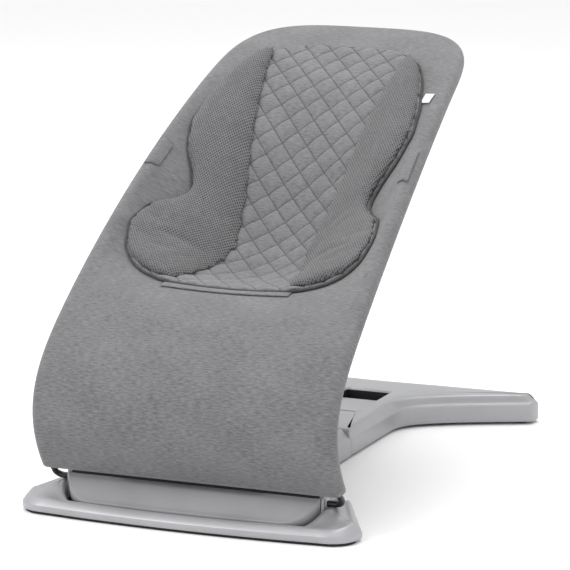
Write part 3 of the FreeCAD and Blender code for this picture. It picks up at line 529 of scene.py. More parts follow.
@dataclass(frozen=True)
class ClothFinish:
    """Woven or knitted cloth, patterned on the piece's own cloth coordinates in metres."""

    name: str
    dark: float
    light: float
    pattern: Pattern
    sheen: float = 0.25

    def make(self) -> bpy.types.Material:
        """Build the material: heathered yarn streaks, then the pattern's relief.

        Returns:
            The material.
        """
        n = Nodes(self.name)
        streaks = n.noise(n.mapped("UV", (110.0, 620.0, 1.0)), 1.0, 4.0, 0.7)
        cloud = n.noise(n.mapped("UV", (14.0, 22.0, 1.0)), 1.0, 2.0)
        faint = n.math("MULTIPLY", (cloud, "Fac"), 0.22)
        yarn = n.math("ADD", (streaks, "Fac"), (faint, 0))
        colour = n.ramp(yarn, 0, [
            (0.36, grey(self.dark, 1.03)), (0.6, grey((self.dark + self.light) / 2, 1.03)),
            (0.84, grey(self.light, 1.03))])
        n.set(Roughness=0.88, Sheen_Weight=self.sheen, Sheen_Roughness=0.45,
              Specular_IOR_Level=0.2)
        if self.pattern is Pattern.MESH:
            self.dress_mesh(n, colour)
        else:
            knit = n.add("TexWave", wave_type="BANDS", bands_direction="Y")
            n.set(knit, Scale=1.0, Distortion=1.6, Detail=1.0)
            n.link(n.mapped("UV", (220.0, 220.0, 1.0)), "Vector", knit, "Vector")
            relief = n.math("ADD", (streaks, "Fac"), (knit, "Fac"))
            n.bump((relief, 0), 0.0005, 0.5)
            if self.pattern is Pattern.QUILT:
                # Stitch lines darkened: partly the stitching, partly painted shade in the quilting
                # creases.
                stitch_crease_shade = self.stitch_lines_and_crease_shade(n)
                mixed = n.mix((stitch_crease_shade, "Color"), (colour, "Color"), grey(self.dark * 0.35))
                n.link(mixed, 2, n.surface, "Base Color")
            else:
                n.link(colour, "Color", n.surface, "Base Color")
        return n.material

    def stitch_lines_and_crease_shade(self, n: Nodes) -> Node:
        """Mask of the diamond stitching, with painted shade in its creases: the lesser of two
        crossed sines, near nought.

        Args:
            n: Nodes of the material.

        Returns:
            The node whose colour is the mask.
        """
        place = n.add("TexCoord")
        parts = n.add("SeparateXYZ")
        n.link(place, "UV", parts, "Vector")
        across = n.math("MULTIPLY", (parts, "X"), math.pi / (CELL_ACROSS * MM))
        along = n.math("MULTIPLY", (parts, "Y"), math.pi / (CELL_ALONG * MM))
        sines = []
        for operation in ("ADD", "SUBTRACT"):
            wave = n.math("SINE", (n.math(operation, (across, 0), (along, 0)), 0), 0.0)
            sines.append(n.math("ABSOLUTE", (wave, 0), 0.0))
        least = n.math("MINIMUM", (sines[0], 0), (sines[1], 0))
        return n.ramp(least, 0, [(0.0, grey(0.75)), (0.07, grey(0.3)), (0.2, grey(0.0))])

    def dress_mesh(self, n: Nodes, colour: Node) -> None:
        """Holes of a spacer mesh, darkened as painted shade: two crossed sets of diagonal waves.

        Args:
            n: Nodes of the material.
            colour: Node of the yarn's colour.
        """
        waves = []
        for turn in (32.0, -32.0):
            wave = n.add("TexWave", wave_type="BANDS", bands_direction="X")
            n.set(wave, Scale=1.0)
            n.link(n.mapped("UV", (105.0, 105.0, 1.0), turn), "Vector", wave, "Vector")
            waves.append(wave)
        holes = n.math("MULTIPLY", (waves[0], "Fac"), (waves[1], "Fac"))
        # The holes are blended toward a dark grey as painted shade inside them.
        shade = n.ramp(holes, 0, [(0.25, grey(0.0)), (0.6, grey(1.0)), (1.0, grey(1.0))])
        mixed = n.mix((shade, "Color"), (colour, "Color"), grey(self.dark * 0.32))
        n.link(mixed, 2, n.surface, "Base Color")
        height = n.math("SUBTRACT", (colour, "Color"), (holes, 0))
        n.bump((height, 0), 0.0009, 0.7)


@dataclass(frozen=True)
class SolidFinish:
    """Moulded or painted finish, with fine grain on object coordinates."""

    name: str
    colour: Colour
    roughness: float
    metallic: float = 0.0
    grain_scale: float = 900.0
    grain_depth: float = 0.00006
    coat: float = 0.0
    variation: float = 0.06

    def make(self) -> bpy.types.Material:
        """Build the material: slow colour drift, fine grain and uneven gloss.

        Returns:
            The material.
        """
        n = Nodes(self.name)
        place = n.mapped("Object", (1.0, 1.0, 1.0))
        slow = n.noise(place, 9.0, 2.0)
        fine = n.noise(place, self.grain_scale, 2.0)
        low = tuple(c * (1.0 - self.variation) for c in self.colour)
        high = tuple(min(c * (1.0 + self.variation), 1.0) for c in self.colour)
        drift = n.ramp(slow, "Fac", [(0.3, low), (0.7, high)])
        n.link(drift, "Color", n.surface, "Base Color")
        gloss = n.ramp(fine, "Fac", [
            (0.3, grey(self.roughness * 0.9)), (0.7, grey(min(self.roughness * 1.1, 1.0)))])
        n.link(gloss, "Color", n.surface, "Roughness")
        n.bump((fine, "Fac"), self.grain_depth, 0.6)
        n.set(Metallic=self.metallic, Coat_Weight=self.coat, Coat_Roughness=0.25)
        return n.material


JERSEY = ClothFinish("grey_jersey", 0.075, 0.225, Pattern.JERSEY)
QUILT = ClothFinish("quilted_jersey", 0.085, 0.235, Pattern.QUILT)
MESH = ClothFinish("spacer_mesh", 0.09, 0.2, Pattern.MESH, 0.15)
PIPING = ClothFinish("dark_piping", 0.035, 0.09, Pattern.JERSEY, 0.1)
TAPE = ClothFinish("white_tape", 0.6, 0.8, Pattern.JERSEY, 0.1)
SILVER = SolidFinish("satin_silver", (0.36, 0.36, 0.375), 0.4, 0.4, coat=0.1)
INLAY = SolidFinish("inlay_grey", (0.27, 0.27, 0.28), 0.6, 0.05, 420.0, 0.0002, variation=0.12)
RUBBER = SolidFinish("black_rubber", (0.012, 0.012, 0.013), 0.7)
DARK = SolidFinish("black_plastic", (0.014, 0.014, 0.016), 0.5)
LEVER = SolidFinish("grey_plastic", (0.36, 0.36, 0.375), 0.42)
INNER = SolidFinish("inner_plastic", (0.7, 0.7, 0.66), 0.45)
STEEL = SolidFinish("bright_steel", (0.55, 0.55, 0.57), 0.28, 1.0)
WIRE = SolidFinish("black_wire", (0.01, 0.01, 0.011), 0.38, 0.0, coat=0.3)
TUBE = SolidFinish("frame_tube", (0.16, 0.16, 0.17), 0.42, 0.3)


# ---------------------------------------------------------------- shape of the seat

@dataclass
class Rail:
    """Centre line of the seat's tube, in millimetres along it.

    The heading is a line that falls with length, plus a turn that fades out along a
    logistic curve, less a parabola near the top. Places come from its running sum.
    """

    start: tuple[float, float] = (54.1, 60.6)
    slope: float = 43.2
    slope_loss: float = 0.0252
    turn: float = 87.1
    turn_middle: float = 84.0
    turn_spread: float = 31.8
    bend_start: float = 600.0
    bend: float = 0.00012
    half_width: float = 196.2
    taper: float = 0.0000614
    corner_start: float = 686.5
    corner_length: float = 152.5
    corner_power: float = 3.79

    def __post_init__(self) -> None:
        """Sum the heading once into a table."""
        self.table = np.arange(0.0, self.end + 1.0, 0.5)
        angle = self.heading(self.table)
        middle = (angle[1:] + angle[:-1]) / 2
        steps = np.diff(self.table)
        self.table_y = self.start[0] + np.concatenate([[0.0], np.cumsum(np.cos(middle) * steps)])
        self.table_z = self.start[1] + np.concatenate([[0.0], np.cumsum(np.sin(middle) * steps)])

    @property
    def end(self) -> float:
        """Length from the hem to the top's middle."""
        return self.corner_start + self.corner_length

    def heading(self, at: Array) -> Array:
        """Angle above the horizon, in radians, at lengths along the rail.

        Args:
            at: Lengths along the rail, in millimetres.

        Returns:
            The angles.
        """
        turn = self.turn / (1 + np.exp((at - self.turn_middle) / self.turn_spread))
        back = np.clip(at - self.bend_start, 0.0, None)
        return np.radians(self.slope - self.slope_loss * at + turn - self.bend * back * back)

    def side(self, at: Array) -> tuple[Array, Array]:
        """Fore-and-aft place and height at lengths along the rail."""
        return np.interp(at, self.table, self.table_y), np.interp(at, self.table, self.table_z)

    def half(self, at: Array) -> Array:
        """Distance from the middle: a parabola, closed by a squared-off round top.

        Args:
            at: Lengths along the rail, in millimetres.

        Returns:
            The distances, in millimetres.
        """
        part = np.clip((at - self.corner_start) / self.corner_length, 0.0, 1.0)
        straight = self.half_width - self.taper * at * at
        return straight * (1 - part ** self.corner_power) ** (1 / self.corner_power)


@dataclass
class Sling(Rail):
    """The hanging cover: the rails joined by a parabola that sags into a seat."""

    sag: float = 112.4
    sag_margin: float = 2.4
    softness: float = 8.0
    sag_front: float = 322.0
    sag_front_spread: float = 32.0
    sag_rear: float = 575.0
    sag_rear_spread: float = 62.0
    lift: float = 12.2

    def depth(self, at: Array) -> Array:
        """Depth of the middle below the edges: two logistic steps, up and down.

        Args:
            at: Lengths along the rail, in millimetres.

        Returns:
            The depths, in millimetres.
        """
        front = 1 / (1 + np.exp((self.sag_front - at) / self.sag_front_spread))
        rear = 1 / (1 + np.exp((at - self.sag_rear) / self.sag_rear_spread))
        return np.maximum(self.sag * front * rear - self.sag_margin, 0.0)

    def drop(self, x: Array, at: Array) -> Array:
        """How far the cloth hangs: a parabola across, eased out beside the rails.

        Args:
            x: Distances from the middle, in millimetres.
            at: Lengths along the rail, in millimetres.

        Returns:
            The drops, in millimetres.
        """
        half = np.maximum(self.half(at), 1.0)
        ratio = np.clip(np.abs(x) / half, 0.0, 1.0)
        inside = np.clip(half - np.abs(x), 0.0, None) ** 2
        clear = inside / (inside + self.softness ** 2)
        return self.depth(at) * clear * (1 - ratio ** 2)

    def point(self, x: Array, at: Array, raised: Array | float) -> Array:
        """Points above the cover's front face, in metres.

        Args:
            x: Distance from the middle, in millimetres.
            at: Length along the rail, in millimetres.
            raised: Height above the face, in millimetres.

        Returns:
            Points whose last axis is x, y, z.
        """
        y, z = self.side(at)
        angle = self.heading(at)
        height = self.lift + raised - self.drop(x, at)
        return placed(np.stack(np.broadcast_arrays(
            x, y - np.sin(angle) * height, z + np.cos(angle) * height), axis=-1))

    def locate(self, places: Array) -> tuple[Array, Array]:
        """Length along the rail and height above the cloth of points near the seat.

        The height is measured square to the rail, which at each length stands at the
        rail's own place: the nearest is where the offset along its heading is nought.

        Args:
            places: Points in metres.

        Returns:
            Lengths in millimetres and heights in metres.
        """
        grid = self.table[::4]
        y, z = self.side(grid)
        angle = self.heading(grid)
        ahead = (places[:, 1:2] - FRONT) / MM - y
        above = places[:, 2:3] / MM - z
        along = ahead * np.cos(angle) + above * np.sin(angle)
        best = np.abs(along).argmin(axis=1)
        rows = np.arange(len(places))
        at = grid[best] + along[rows, best]
        height = -ahead * np.sin(angle) + above * np.cos(angle)
        hanging = self.drop(places[:, 0] / MM, at)
        return at, (height[rows, best] - self.lift + hanging) * MM


SLING = Sling()

# ---------------------------------------------------------------- soft goods

@dataclass
class Hammock:
    """Seat cover: one sheet of jersey between the rails, with a sleeve round them."""

    sleeve: float = 11.2
    thickness: float = 2.6
    wrap_end: float = 205.0
    side_rows: int = 110
    top_rows: int = 60
    front_columns: int = 44
    wrap_columns: int = 16
    back_columns: int = 24
    inboard: float = 16.0
    fan_centre: float = 745.0

    def rim(self) -> tuple[Array, Array]:
        """Rim of the cover from the left hem, over the top, to the right hem.

        The sides are evenly spaced, and the top follows the rail's own squared round,
        stepped evenly in length along its first part and in width along the rest.

        Returns:
            Distances from the middle and lengths along the rail, in millimetres.
        """
        rail = SLING
        sides = np.linspace(0.0, rail.corner_start, self.side_rows, endpoint=False)
        diagonal = 0.5 ** (1 / rail.corner_power)
        rise = np.linspace(0.0, diagonal, self.top_rows // 2, endpoint=False)
        across = np.linspace(diagonal, 0.0, self.top_rows // 2 + 1)
        climbed = (1 - across ** rail.corner_power) ** (1 / rail.corner_power)
        at = np.concatenate([
            sides, rail.corner_start + rise * rail.corner_length,
            rail.corner_start + climbed * rail.corner_length])
        straight = rail.half_width - rail.taper * at * at
        x = -rail.half(at)
        x[-len(across):] = -straight[-len(across):] * across
        return np.concatenate([x, -x[-2::-1]]), np.concatenate([at, at[-2::-1]])

    def build(self) -> Piece:
        """Build the sheet: front face, sleeve and back face in one run for each row.

        Returns:
            The cover.
        """
        rail = SLING
        x, at = self.rim()
        reach = 1 - np.clip(np.abs(x) / rail.half(np.minimum(at, rail.corner_start)), 0.0, 1.0)
        centre = np.where(
            at <= rail.corner_start, at,
            rail.corner_start + (self.fan_centre - rail.corner_start) * reach ** 0.6)
        centre = np.minimum(centre, at)
        front = np.linspace(0.0, 1.0, self.front_columns) ** 0.85
        inset = 1 - self.inboard / np.maximum(np.hypot(x, at - centre), self.inboard * 2)
        back = np.linspace(1.0, 0.0, self.back_columns)[None, :] * inset[:, None]

        def along(part: Array) -> Array:
            """Lengths along the rail at parts of the way from the fan's centre."""
            return centre[:, None] + (at - centre)[:, None] * part

        face_part = np.broadcast_to(front[None, :], (len(x), len(front)))
        face = rail.point(x[:, None] * face_part, along(face_part), self.sleeve - rail.lift)
        rear = rail.point(x[:, None] * back, along(back), self.sleeve - rail.lift - self.thickness)
        y, z = rail.side(at)
        line = placed(np.stack([x, y, z], axis=-1))
        tangent = unit(np.gradient(line, axis=0))
        angle = rail.heading(at)
        normal = np.stack([0 * angle, -np.sin(angle), np.cos(angle)], axis=-1)
        outward = unit(np.cross(normal, tangent))
        turn = np.linspace(0.0, self.wrap_end, self.wrap_columns + 1)[1:]
        turn = np.radians(turn)[None, :, None]
        round_tube = np.cos(turn) * normal[:, None] + np.sin(turn) * outward[:, None]
        wrap = line[:, None] + self.sleeve * MM * round_tube
        points = np.concatenate([face, wrap, rear], axis=1)
        wrapped = 1 + np.linspace(0.005, 0.2, self.wrap_columns)
        wrapped = np.broadcast_to(wrapped, (len(points), self.wrap_columns))
        part = np.concatenate([face_part, wrapped, back], axis=1)
        uv = np.stack([x[:, None] * part, along(part)], axis=-1) * MM
        return skin_piece("hammock_cover", points, uv, 2 * WELD)


@dataclass
class Insert:
    """Quilted insert: a jersey panel stitched in diamonds, with piping round its edge."""

    outline_at: tuple[float, ...] = (
        291.0, 293.0, 300.0, 318.0, 345.0, 385.0, 430.0, 462.0, 482.0, 505.0, 545.0, 585.0, 640.0,
        700.0, 735.0, 757.0, 768.0, 771.0)
    outline_half: tuple[float, ...] = (
        70.0, 92.0, 116.0, 143.0, 162.0, 170.0, 160.0, 134.0, 126.0, 132.0, 150.0, 157.0, 150.0,
        133.0, 117.0, 94.0, 62.0, 30.0)
    rounding: float = 9.0
    thickness: float = 7.5
    puff: float = 4.2
    edge_round: float = 7.0
    rows: int = 330
    columns: int = 210
    piping_radius: float = 1.9
    piping_rows: int = 200

    def half(self, at: Array) -> Array:
        """Half width: the outline's places, rounded by a running mean.

        Args:
            at: Lengths along the rail, in millimetres.

        Returns:
            Half widths, in millimetres.
        """
        spread = np.linspace(-self.rounding, self.rounding, 13)
        low, high = self.outline_at[0], self.outline_at[-1]
        room = np.clip(np.minimum(at - low, high - at) / self.rounding, 0.0, 1.0)
        near = at[..., None] + spread * room[..., None]
        return np.interp(near, self.outline_at, self.outline_half).mean(axis=-1)

    def quilting(self, x: Array, at: Array) -> Array:
        """Height of the quilting: the root of two crossed sines, nought on the stitch lines.

        Args:
            x: Distances from the middle, in millimetres.
            at: Lengths along the rail, in millimetres.

        Returns:
            The heights, in millimetres.
        """
        first = np.abs(np.sin(math.pi * (x / CELL_ACROSS + at / CELL_ALONG)))
        second = np.abs(np.sin(math.pi * (x / CELL_ACROSS - at / CELL_ALONG)))
        return self.puff * first ** 0.5 * second ** 0.3

    def build(self) -> Piece:
        """Build the panel, thin at its edge and quilted all over.

        Returns:
            The panel.
        """
        low, high = self.outline_at[0], self.outline_at[-1]
        even = np.linspace(0.0, 1.0, self.rows)
        at = low + (high - low) * (0.8 * even + 0.2 * cosine_steps(even))
        across = np.sin(np.linspace(-math.pi / 2, math.pi / 2, self.columns)) * 0.35
        across = across + np.linspace(-0.65, 0.65, self.columns)
        x = self.half(at)[:, None] * across[None, :]
        length = np.broadcast_to(at[:, None], x.shape)
        edge = np.minimum((1 - np.abs(across))[None, :] * self.half(at)[:, None],
                          np.minimum(at - low, high - at)[:, None])
        near = np.clip(edge / self.edge_round, 0.0, 1.0)
        round_edge = np.sqrt(near * (2 - near))
        height = (self.thickness - self.puff) * (0.25 + 0.75 * round_edge)
        height = height + self.quilting(x, length) * round_edge
        top = SLING.point(x, length, 0.4 + height)
        bottom = SLING.point(x, length, 0.2)
        uv = np.stack([x, length], axis=-1) * MM
        return pad_piece("insert_panel", top, bottom, uv)

    def edge_line(self, raised: float, outside: float) -> Array:
        """Closed line round the outline, at a height and outside it, in millimetres.

        Args:
            raised: Height above the cover, in millimetres.
            outside: Distance outside the outline, in millimetres.

        Returns:
            Points of the line, in metres.
        """
        low, high = self.outline_at[0], self.outline_at[-1]
        even = np.linspace(0.0, 1.0, self.piping_rows)
        at = low + (high - low) * (0.6 * even + 0.4 * cosine_steps(even))
        half = self.half(at) + outside
        closing = np.linspace(-1.0, 1.0, 12)[1:-1]
        x = np.concatenate([half, -closing * half[-1], -half[::-1], closing * half[0]])
        length = np.concatenate([at, closing * 0 + at[-1], at[::-1], closing * 0 + at[0]])
        return SLING.point(x, length, raised)

    def build_piping(self) -> Piece:
        """Build the dark piping round the insert."""
        line = self.edge_line(raised=2.0, outside=0.5)
        return tube_piece("insert_piping", line, self.piping_radius * MM, closed=True)


@dataclass
class Bolster:
    """Padded side wing of spacer mesh, sewn on the insert along its inner edge."""

    insert: Insert
    side: int
    low: float = 300.0
    high: float = 757.0
    low_fade: float = 34.0
    high_fade: float = 90.0
    waist: float = 424.0
    gap: float = 47.0
    height: float = 17.0
    rows: int = 150
    columns: int = 46

    def inner(self, at: Array) -> Array:
        """Inner edge: closest to the middle at the hips."""
        away = at - self.waist
        return self.gap + np.where(away > 0.0, away * 0.15, -away * 0.2)

    def build(self) -> Piece:
        """Build the wing: a crowned section that fades out at both ends.

        Returns:
            The wing, before it is stuffed.
        """
        even = np.linspace(0.0, 1.0, self.rows)
        at = self.low + (self.high - self.low) * (0.6 * even + 0.4 * cosine_steps(even))
        part = np.linspace(0.0, 1.0, self.columns)
        part = 0.6 * part + 0.4 * cosine_steps(part)
        end = np.clip((at - self.low) / self.low_fade, 0.0, 1.0)
        tip = np.clip((self.high - at) / self.high_fade, 0.0, 1.0)
        swell = np.sqrt(end * (2 - end)) * np.sqrt(tip * (2 - tip))
        inner, outer = self.inner(at), self.insert.half(at) - 1.0
        centre = (inner + outer) / 2
        width = (outer - inner) / 2 * (0.35 + 0.65 * np.sqrt(end * (2 - end)))
        x = centre[:, None] + width[:, None] * (2 * part - 1)[None, :]
        crown = (1 - np.abs(2 * part - 1) ** 3.2) ** 0.75
        lean = 1.0 + 0.18 * (2 * part - 1)
        length = np.broadcast_to(at[:, None], x.shape)
        base = self.insert.thickness - 2.0
        rise = self.height * swell[:, None] * (crown * lean)[None, :]
        top = SLING.point(self.side * x, length, base + 0.5 + rise)
        bottom = SLING.point(self.side * x, length, np.full(x.shape, base))
        uv = np.stack([self.side * x, length], axis=-1) * MM
        word = "left" if self.side < 0 else "right"
        return pad_piece("bolster_pad_" + word, top, bottom, uv)


@dataclass
class Patch:
    """Small flat piece of cloth that lies on the cover between four corners."""

    name: str
    corners: tuple[tuple[float, float], ...]
    raised: float
    thickness: float

    def build(self) -> Piece:
        """Build the patch: corners blended across and along, with a thin soft edge.

        Returns:
            The patch.
        """
        part = np.linspace(0.0, 1.0, 20)
        a, b, c, d = (np.array(corner) for corner in self.corners)
        u, v = np.meshgrid(part, part, indexing="ij")
        u, v = u[..., None], v[..., None]
        flat = (1 - u) * ((1 - v) * a + v * b) + u * ((1 - v) * d + v * c)
        edge = np.minimum(np.minimum(u, 1 - u), np.minimum(v, 1 - v))[..., 0]
        soft = np.clip(edge * 12, 0.0, 1.0)
        x, at = flat[..., 0], flat[..., 1]
        top = SLING.point(x, at, self.raised + self.thickness * (0.5 + 0.5 * soft))
        bottom = SLING.point(x, at, np.full(x.shape, self.raised - 0.2))
        return pad_piece(self.name, top, bottom, np.stack([x, at], axis=-1) * MM)


# ---------------------------------------------------------------- front foot

@dataclass
class FrontFoot:
    """Front plate: a rim round a valley, and a grey ramp that climbs to the hinge beam."""

    half: float = 230.0
    rear_half: float = 200.0
    depth: float = 111.5
    bow: float = 10.0
    corner: float = 44.0
    front_height: float = 17.5
    slope: float = 0.147
    bottom: float = 4.0
    ramp_half: float = 168.0
    ramp_front: float = 21.0
    ramp_rear: float = 59.4
    ramp_low: float = 18.6
    ramp_top: float = 47.0
    valley_front: float = 22.0
    valley_length: float = 38.0
    valley_low: float = 16.2
    valley_rise: float = 19.0
    underside: float = 14.2
    columns: int = 300
    wall_rows: tuple[tuple[float, float], ...] = (
        (20.0, 4.0), (1.5, 4.0), (0.4, 4.5), (0.0, 5.6), (0.0, 11.2), (0.3, 12.3), (1.1, 13.2))
    rim_rows: tuple[tuple[float, float], ...] = (
        (4.0, 0.42), (8.0, 0.84), (9.6, 0.95), (11.2, 1.0), (13.0, 1.0), (14.4, 0.96))
    lip_rows: tuple[tuple[float, float], ...] = (
        (0.0, 6.0), (0.0, 1.2), (0.5, 0.35), (1.4, 0.0), (2.6, 0.1), (5.0, 0.45))

    def path(self, half: float, rear_half: float, front: float, bow: float,
             corner: float, power: float = 2.4) -> tuple[Array, Array]:
        """U-shaped line from the left rear corner, round the front, to the right rear one.

        The front is a shallow parabola and each corner a quarter of a squared round. The
        line is then spaced evenly along its length.

        Args:
            half: Half width at the corners.
            rear_half: Half width at the rear.
            front: Place of the front edge's middle.
            bow: How far the front edge's ends stand back.
            corner: Size of the corners.
            power: Squareness of the corners.

        Returns:
            The points, and the directions square to them, pointing outwards.
        """
        turn = np.linspace(0.0, math.pi / 2, 60)
        corner_x = half - corner + corner * np.cos(turn) ** (2 / power)
        corner_y = front + bow + corner - corner * np.sin(turn) ** (2 / power)
        front_x = np.linspace(half - corner, 0.0, 60)[1:]
        front_y = front + bow * (front_x / (half - corner)) ** 2
        x = np.concatenate([[rear_half], corner_x, front_x])
        y = np.concatenate([[self.depth], corner_y, front_y])
        x = np.concatenate([-x, x[-2::-1]])
        y = np.concatenate([y, y[-2::-1]])
        run = np.concatenate([[0.0], np.cumsum(np.hypot(np.diff(x), np.diff(y)))])
        even = np.linspace(0.0, run[-1], self.columns)
        line = np.stack([np.interp(even, run, x), np.interp(even, run, y)], axis=-1)
        tangent = unit(np.gradient(line, axis=0))
        outward = np.stack([tangent[:, 1], -tangent[:, 0]], axis=-1)
        outward[[0, -1]] = [[-1.0, 0.0], [1.0, 0.0]]
        return line, outward

    def crest(self, line: Array) -> Array:
        """Height of the rim: it rises evenly to the rear."""
        return self.front_height + self.slope * line[:, 1]

    def ramp_height(self, y: Array) -> Array:
        """Height of the ramp: even, with the first part eased into it.

        Args:
            y: Places behind the front edge, in millimetres.

        Returns:
            The heights, in millimetres.
        """
        share = (y - self.ramp_front) / (self.ramp_rear - self.ramp_front)
        eased = np.where(share < 0.2, share * share * 2.5 + 0.1, share)
        return self.ramp_low + (self.ramp_top - self.ramp_low) * np.clip(eased, 0.0, 1.0)

    def rows(self, points: list[Array]) -> Array:
        """Rows of places, kept in front of the plate's rear edge, as a grid in metres.

        Args:
            points: Rows of points, in millimetres.

        Returns:
            The grid.
        """
        grid = np.stack(points)
        grid[..., 1] = np.minimum(grid[..., 1], self.depth)
        return placed(grid)

    def build_cover(self) -> Piece:
        """Build the rim: a section carried round the outline, then drawn into the valley.

        Returns:
            The rim.
        """
        outer, outward = self.path(self.half, self.rear_half, 0.0, self.bow, self.corner)
        inner, _ = self.path(
            half=self.ramp_half + 14.0, rear_half=self.ramp_half + 10.0,
            front=self.ramp_front - 3.0, bow=2.0, corner=52.0, power=2.1)
        rows = []
        for inset, height in self.wall_rows:
            line = outer - outward * inset
            rows.append(row(line, height))
        wall_top = self.wall_rows[-1][1]
        for inset, share in self.rim_rows:
            line = outer - outward * inset
            height = wall_top + (self.crest(line) - wall_top) * share
            rows.append(row(line, height))
        ledge = line
        top = rows[-1][:, 2]
        for share in (0.15, 0.35, 0.6, 0.85, 1.0):
            line = ledge + (inner - ledge) * share
            rise = np.clip((line[:, 1] - self.valley_front) / self.valley_length, 0.0, 1.0)
            valley = self.valley_low + self.valley_rise * ease(rise)
            rows.append(row(line, top + (valley - top) * ease(share)))
        under = ledge + (inner - ledge) * (1 + 4.0 / 30.0)
        rows += [row(under, self.valley_low - 1.2), row(under, self.bottom), rows[0]]
        return skin_piece("foot_rim", self.rows(rows))

    def build_inlay(self) -> Piece:
        """Build the inlay: a ramp with round front corners, a lip and a closed rear.

        Returns:
            The inlay.
        """
        edge, outward = self.path(
            half=self.ramp_half + 5.0, rear_half=self.ramp_half - 2.0,
            front=self.ramp_front, bow=2.0, corner=46.0, power=2.0)
        line = edge - outward * 2.0
        line[:, 1] = np.minimum(line[:, 1], self.ramp_rear)
        rows = [row(line, self.underside)]
        for inset, drop in self.lip_rows:
            line = edge - outward * inset
            line[:, 1] = np.minimum(line[:, 1], self.ramp_rear)
            height = np.maximum(self.ramp_height(line[:, 1]) - drop, self.underside + 0.2)
            rows.append(row(line, height))
        last = rows[-1]
        middle = np.column_stack([last[:, 0] * 0.55, np.full(len(last), self.ramp_rear)])
        for share in (0.08, 0.2, 0.4, 0.6, 0.8, 1.0):
            line = last[:, :2] * (1 - share) + middle * share
            rows.append(row(line, self.ramp_height(line[:, 1]) - drop))
        rows.append(row(middle, self.underside))
        rows.append(rows[0])
        return skin_piece("inlay_plate", self.rows(rows))


@dataclass
class RearFoot:
    """Rear foot: the spine's end, which flares into a wide bar, round the lever's opening.

    Each entry of the outline pairs a place on the outer edge with one on the opening, so
    that the top is a ring of rows between the two. They are measured from the front edge.
    Rows on the edge and in the groove give a distance inwards, the plain height and the
    height on the bar's front lip.
    """

    pairs: tuple[tuple[float, float, float, float], ...] = (
        (0.0, 430.6, 0.0, 531.5), (62.0, 430.6, 26.0, 531.5), (65.0, 434.0, 33.0, 534.0),
        (65.0, 470.0, 34.5, 545.0), (65.0, 560.0, 34.5, 572.0), (65.6, 590.0, 34.5, 595.0),
        (71.0, 611.0, 34.5, 608.0), (85.0, 630.0, 34.5, 620.0), (112.0, 650.0, 34.5, 632.0),
        (150.0, 671.0, 34.5, 642.0), (190.0, 690.0, 34.5, 650.0), (216.0, 702.0, 34.5, 655.0),
        (227.0, 708.0, 34.4, 657.0), (229.6, 722.0, 34.0, 660.0), (228.0, 734.0, 32.0, 663.0),
        (214.0, 735.0, 29.0, 664.5), (120.0, 735.0, 20.0, 664.5), (0.0, 735.0, 0.0, 664.5))
    flare_first: float = 5.0
    flare_last: float = 13.0
    per_pair: int = 12
    front: float = 430.6
    rear: float = 735.0
    seam: float = 431.0
    seam_ease: float = 6.0
    bottom: float = 4.0
    hole_bottom: float = 24.0
    wall_rows: tuple[tuple[float, float], ...] = ((8.0, 4.0), (0.8, 4.0), (0.2, 4.3), (0.0, 5.0))
    edge_rows: tuple[tuple[float, float, float], ...] = (
        (0.0, 25.2, 25.5), (0.3, 26.3, 27.6), (1.2, 27.4, 29.2), (2.6, 28.8, 30.0),
        (4.2, 30.4, 29.6), (6.0, 32.2, 28.8), (7.6, 33.8, 29.4), (9.0, 35.2, 31.2))
    groove_rows: tuple[tuple[float, float, float], ...] = (
        (2.5, 37.7, 34.0), (4.6, 39.5, 36.8), (6.5, 40.0, 38.8), (12.0, 40.0, 40.0))
    top_rows: tuple[tuple[float, float], ...] = (
        (0.8, 40.0), (0.93, 40.0), (0.98, 39.8), (1.0, 39.2))

    def outline(self) -> tuple[Array, Array, Array, Array]:
        """Closed outer line, its outward directions, the opening, and the flare's share.

        Places between two entries are blended evenly, and corners are rounded by a
        running mean. The flare's share is 1 along the bar's front edge.

        Returns:
            The outer line, its directions, the opening and the share, in that order.
        """
        keys = np.array(self.pairs)
        index = np.arange(len(keys), dtype=float)
        even = np.linspace(0.0, len(keys) - 1.0, (len(keys) - 1) * self.per_pair + 1)
        half = np.stack([np.interp(even, index, keys[:, i]) for i in range(4)], axis=-1)
        share = np.clip(np.minimum(even - self.flare_first, self.flare_last - even), 0.0, 1.0)
        mirror = half[-2:0:-1] * np.array([-1.0, 1.0, -1.0, 1.0])
        ring = np.concatenate([half, mirror])
        share = np.concatenate([share, share[-2:0:-1]])
        mean = sum(np.roll(ring, step, axis=0) for step in range(-4, 5)) / 9
        mean[:, 1] = np.clip(mean[:, 1], self.front, self.rear)
        outer, opening = mean[:, :2], mean[:, 2:]
        tangent = unit(np.roll(outer, -1, axis=0) - np.roll(outer, 1, axis=0))
        outward = np.stack([tangent[:, 1], -tangent[:, 0]], axis=-1)
        return outer, outward, opening, ease(share)

    def build(self) -> Piece:
        """Build the ring: outer wall, bevel or lip and groove, top, opening and underside.

        Returns:
            The rear foot.
        """
        outer, outward, opening, flare = self.outline()
        joint = np.clip((outer[:, 1] - self.seam) / self.seam_ease, 0.0, 1.0)
        inward = -outward * joint[:, None]
        rows = [row(outer + inward * inset, height) for inset, height in self.wall_rows]
        for inset, plain, lip in self.edge_rows:
            ledge = outer + inward * inset
            rows.append(row(ledge, plain + (lip - plain) * flare))
        across = opening - ledge
        reach = np.linalg.norm(across, axis=1)
        for step, plain, lip in self.groove_rows:
            share = np.minimum(step / reach, 0.7)[:, None]
            rows.append(row(ledge + across * share, plain + (lip - plain) * flare))
        rows += [row(ledge + across * share, height) for share, height in self.top_rows]
        rows.append(row(opening, self.hole_bottom))
        rows.append(row(opening - across * 0.06, self.hole_bottom))
        rows.append(row(opening - across * 0.3, self.bottom))
        rows.append(rows[0])
        points = np.stack(rows)
        points = np.concatenate([points, points[:, :1]], axis=1)
        return skin_piece("rear_foot_shell", placed(points))


# ---------------------------------------------------------------- studio

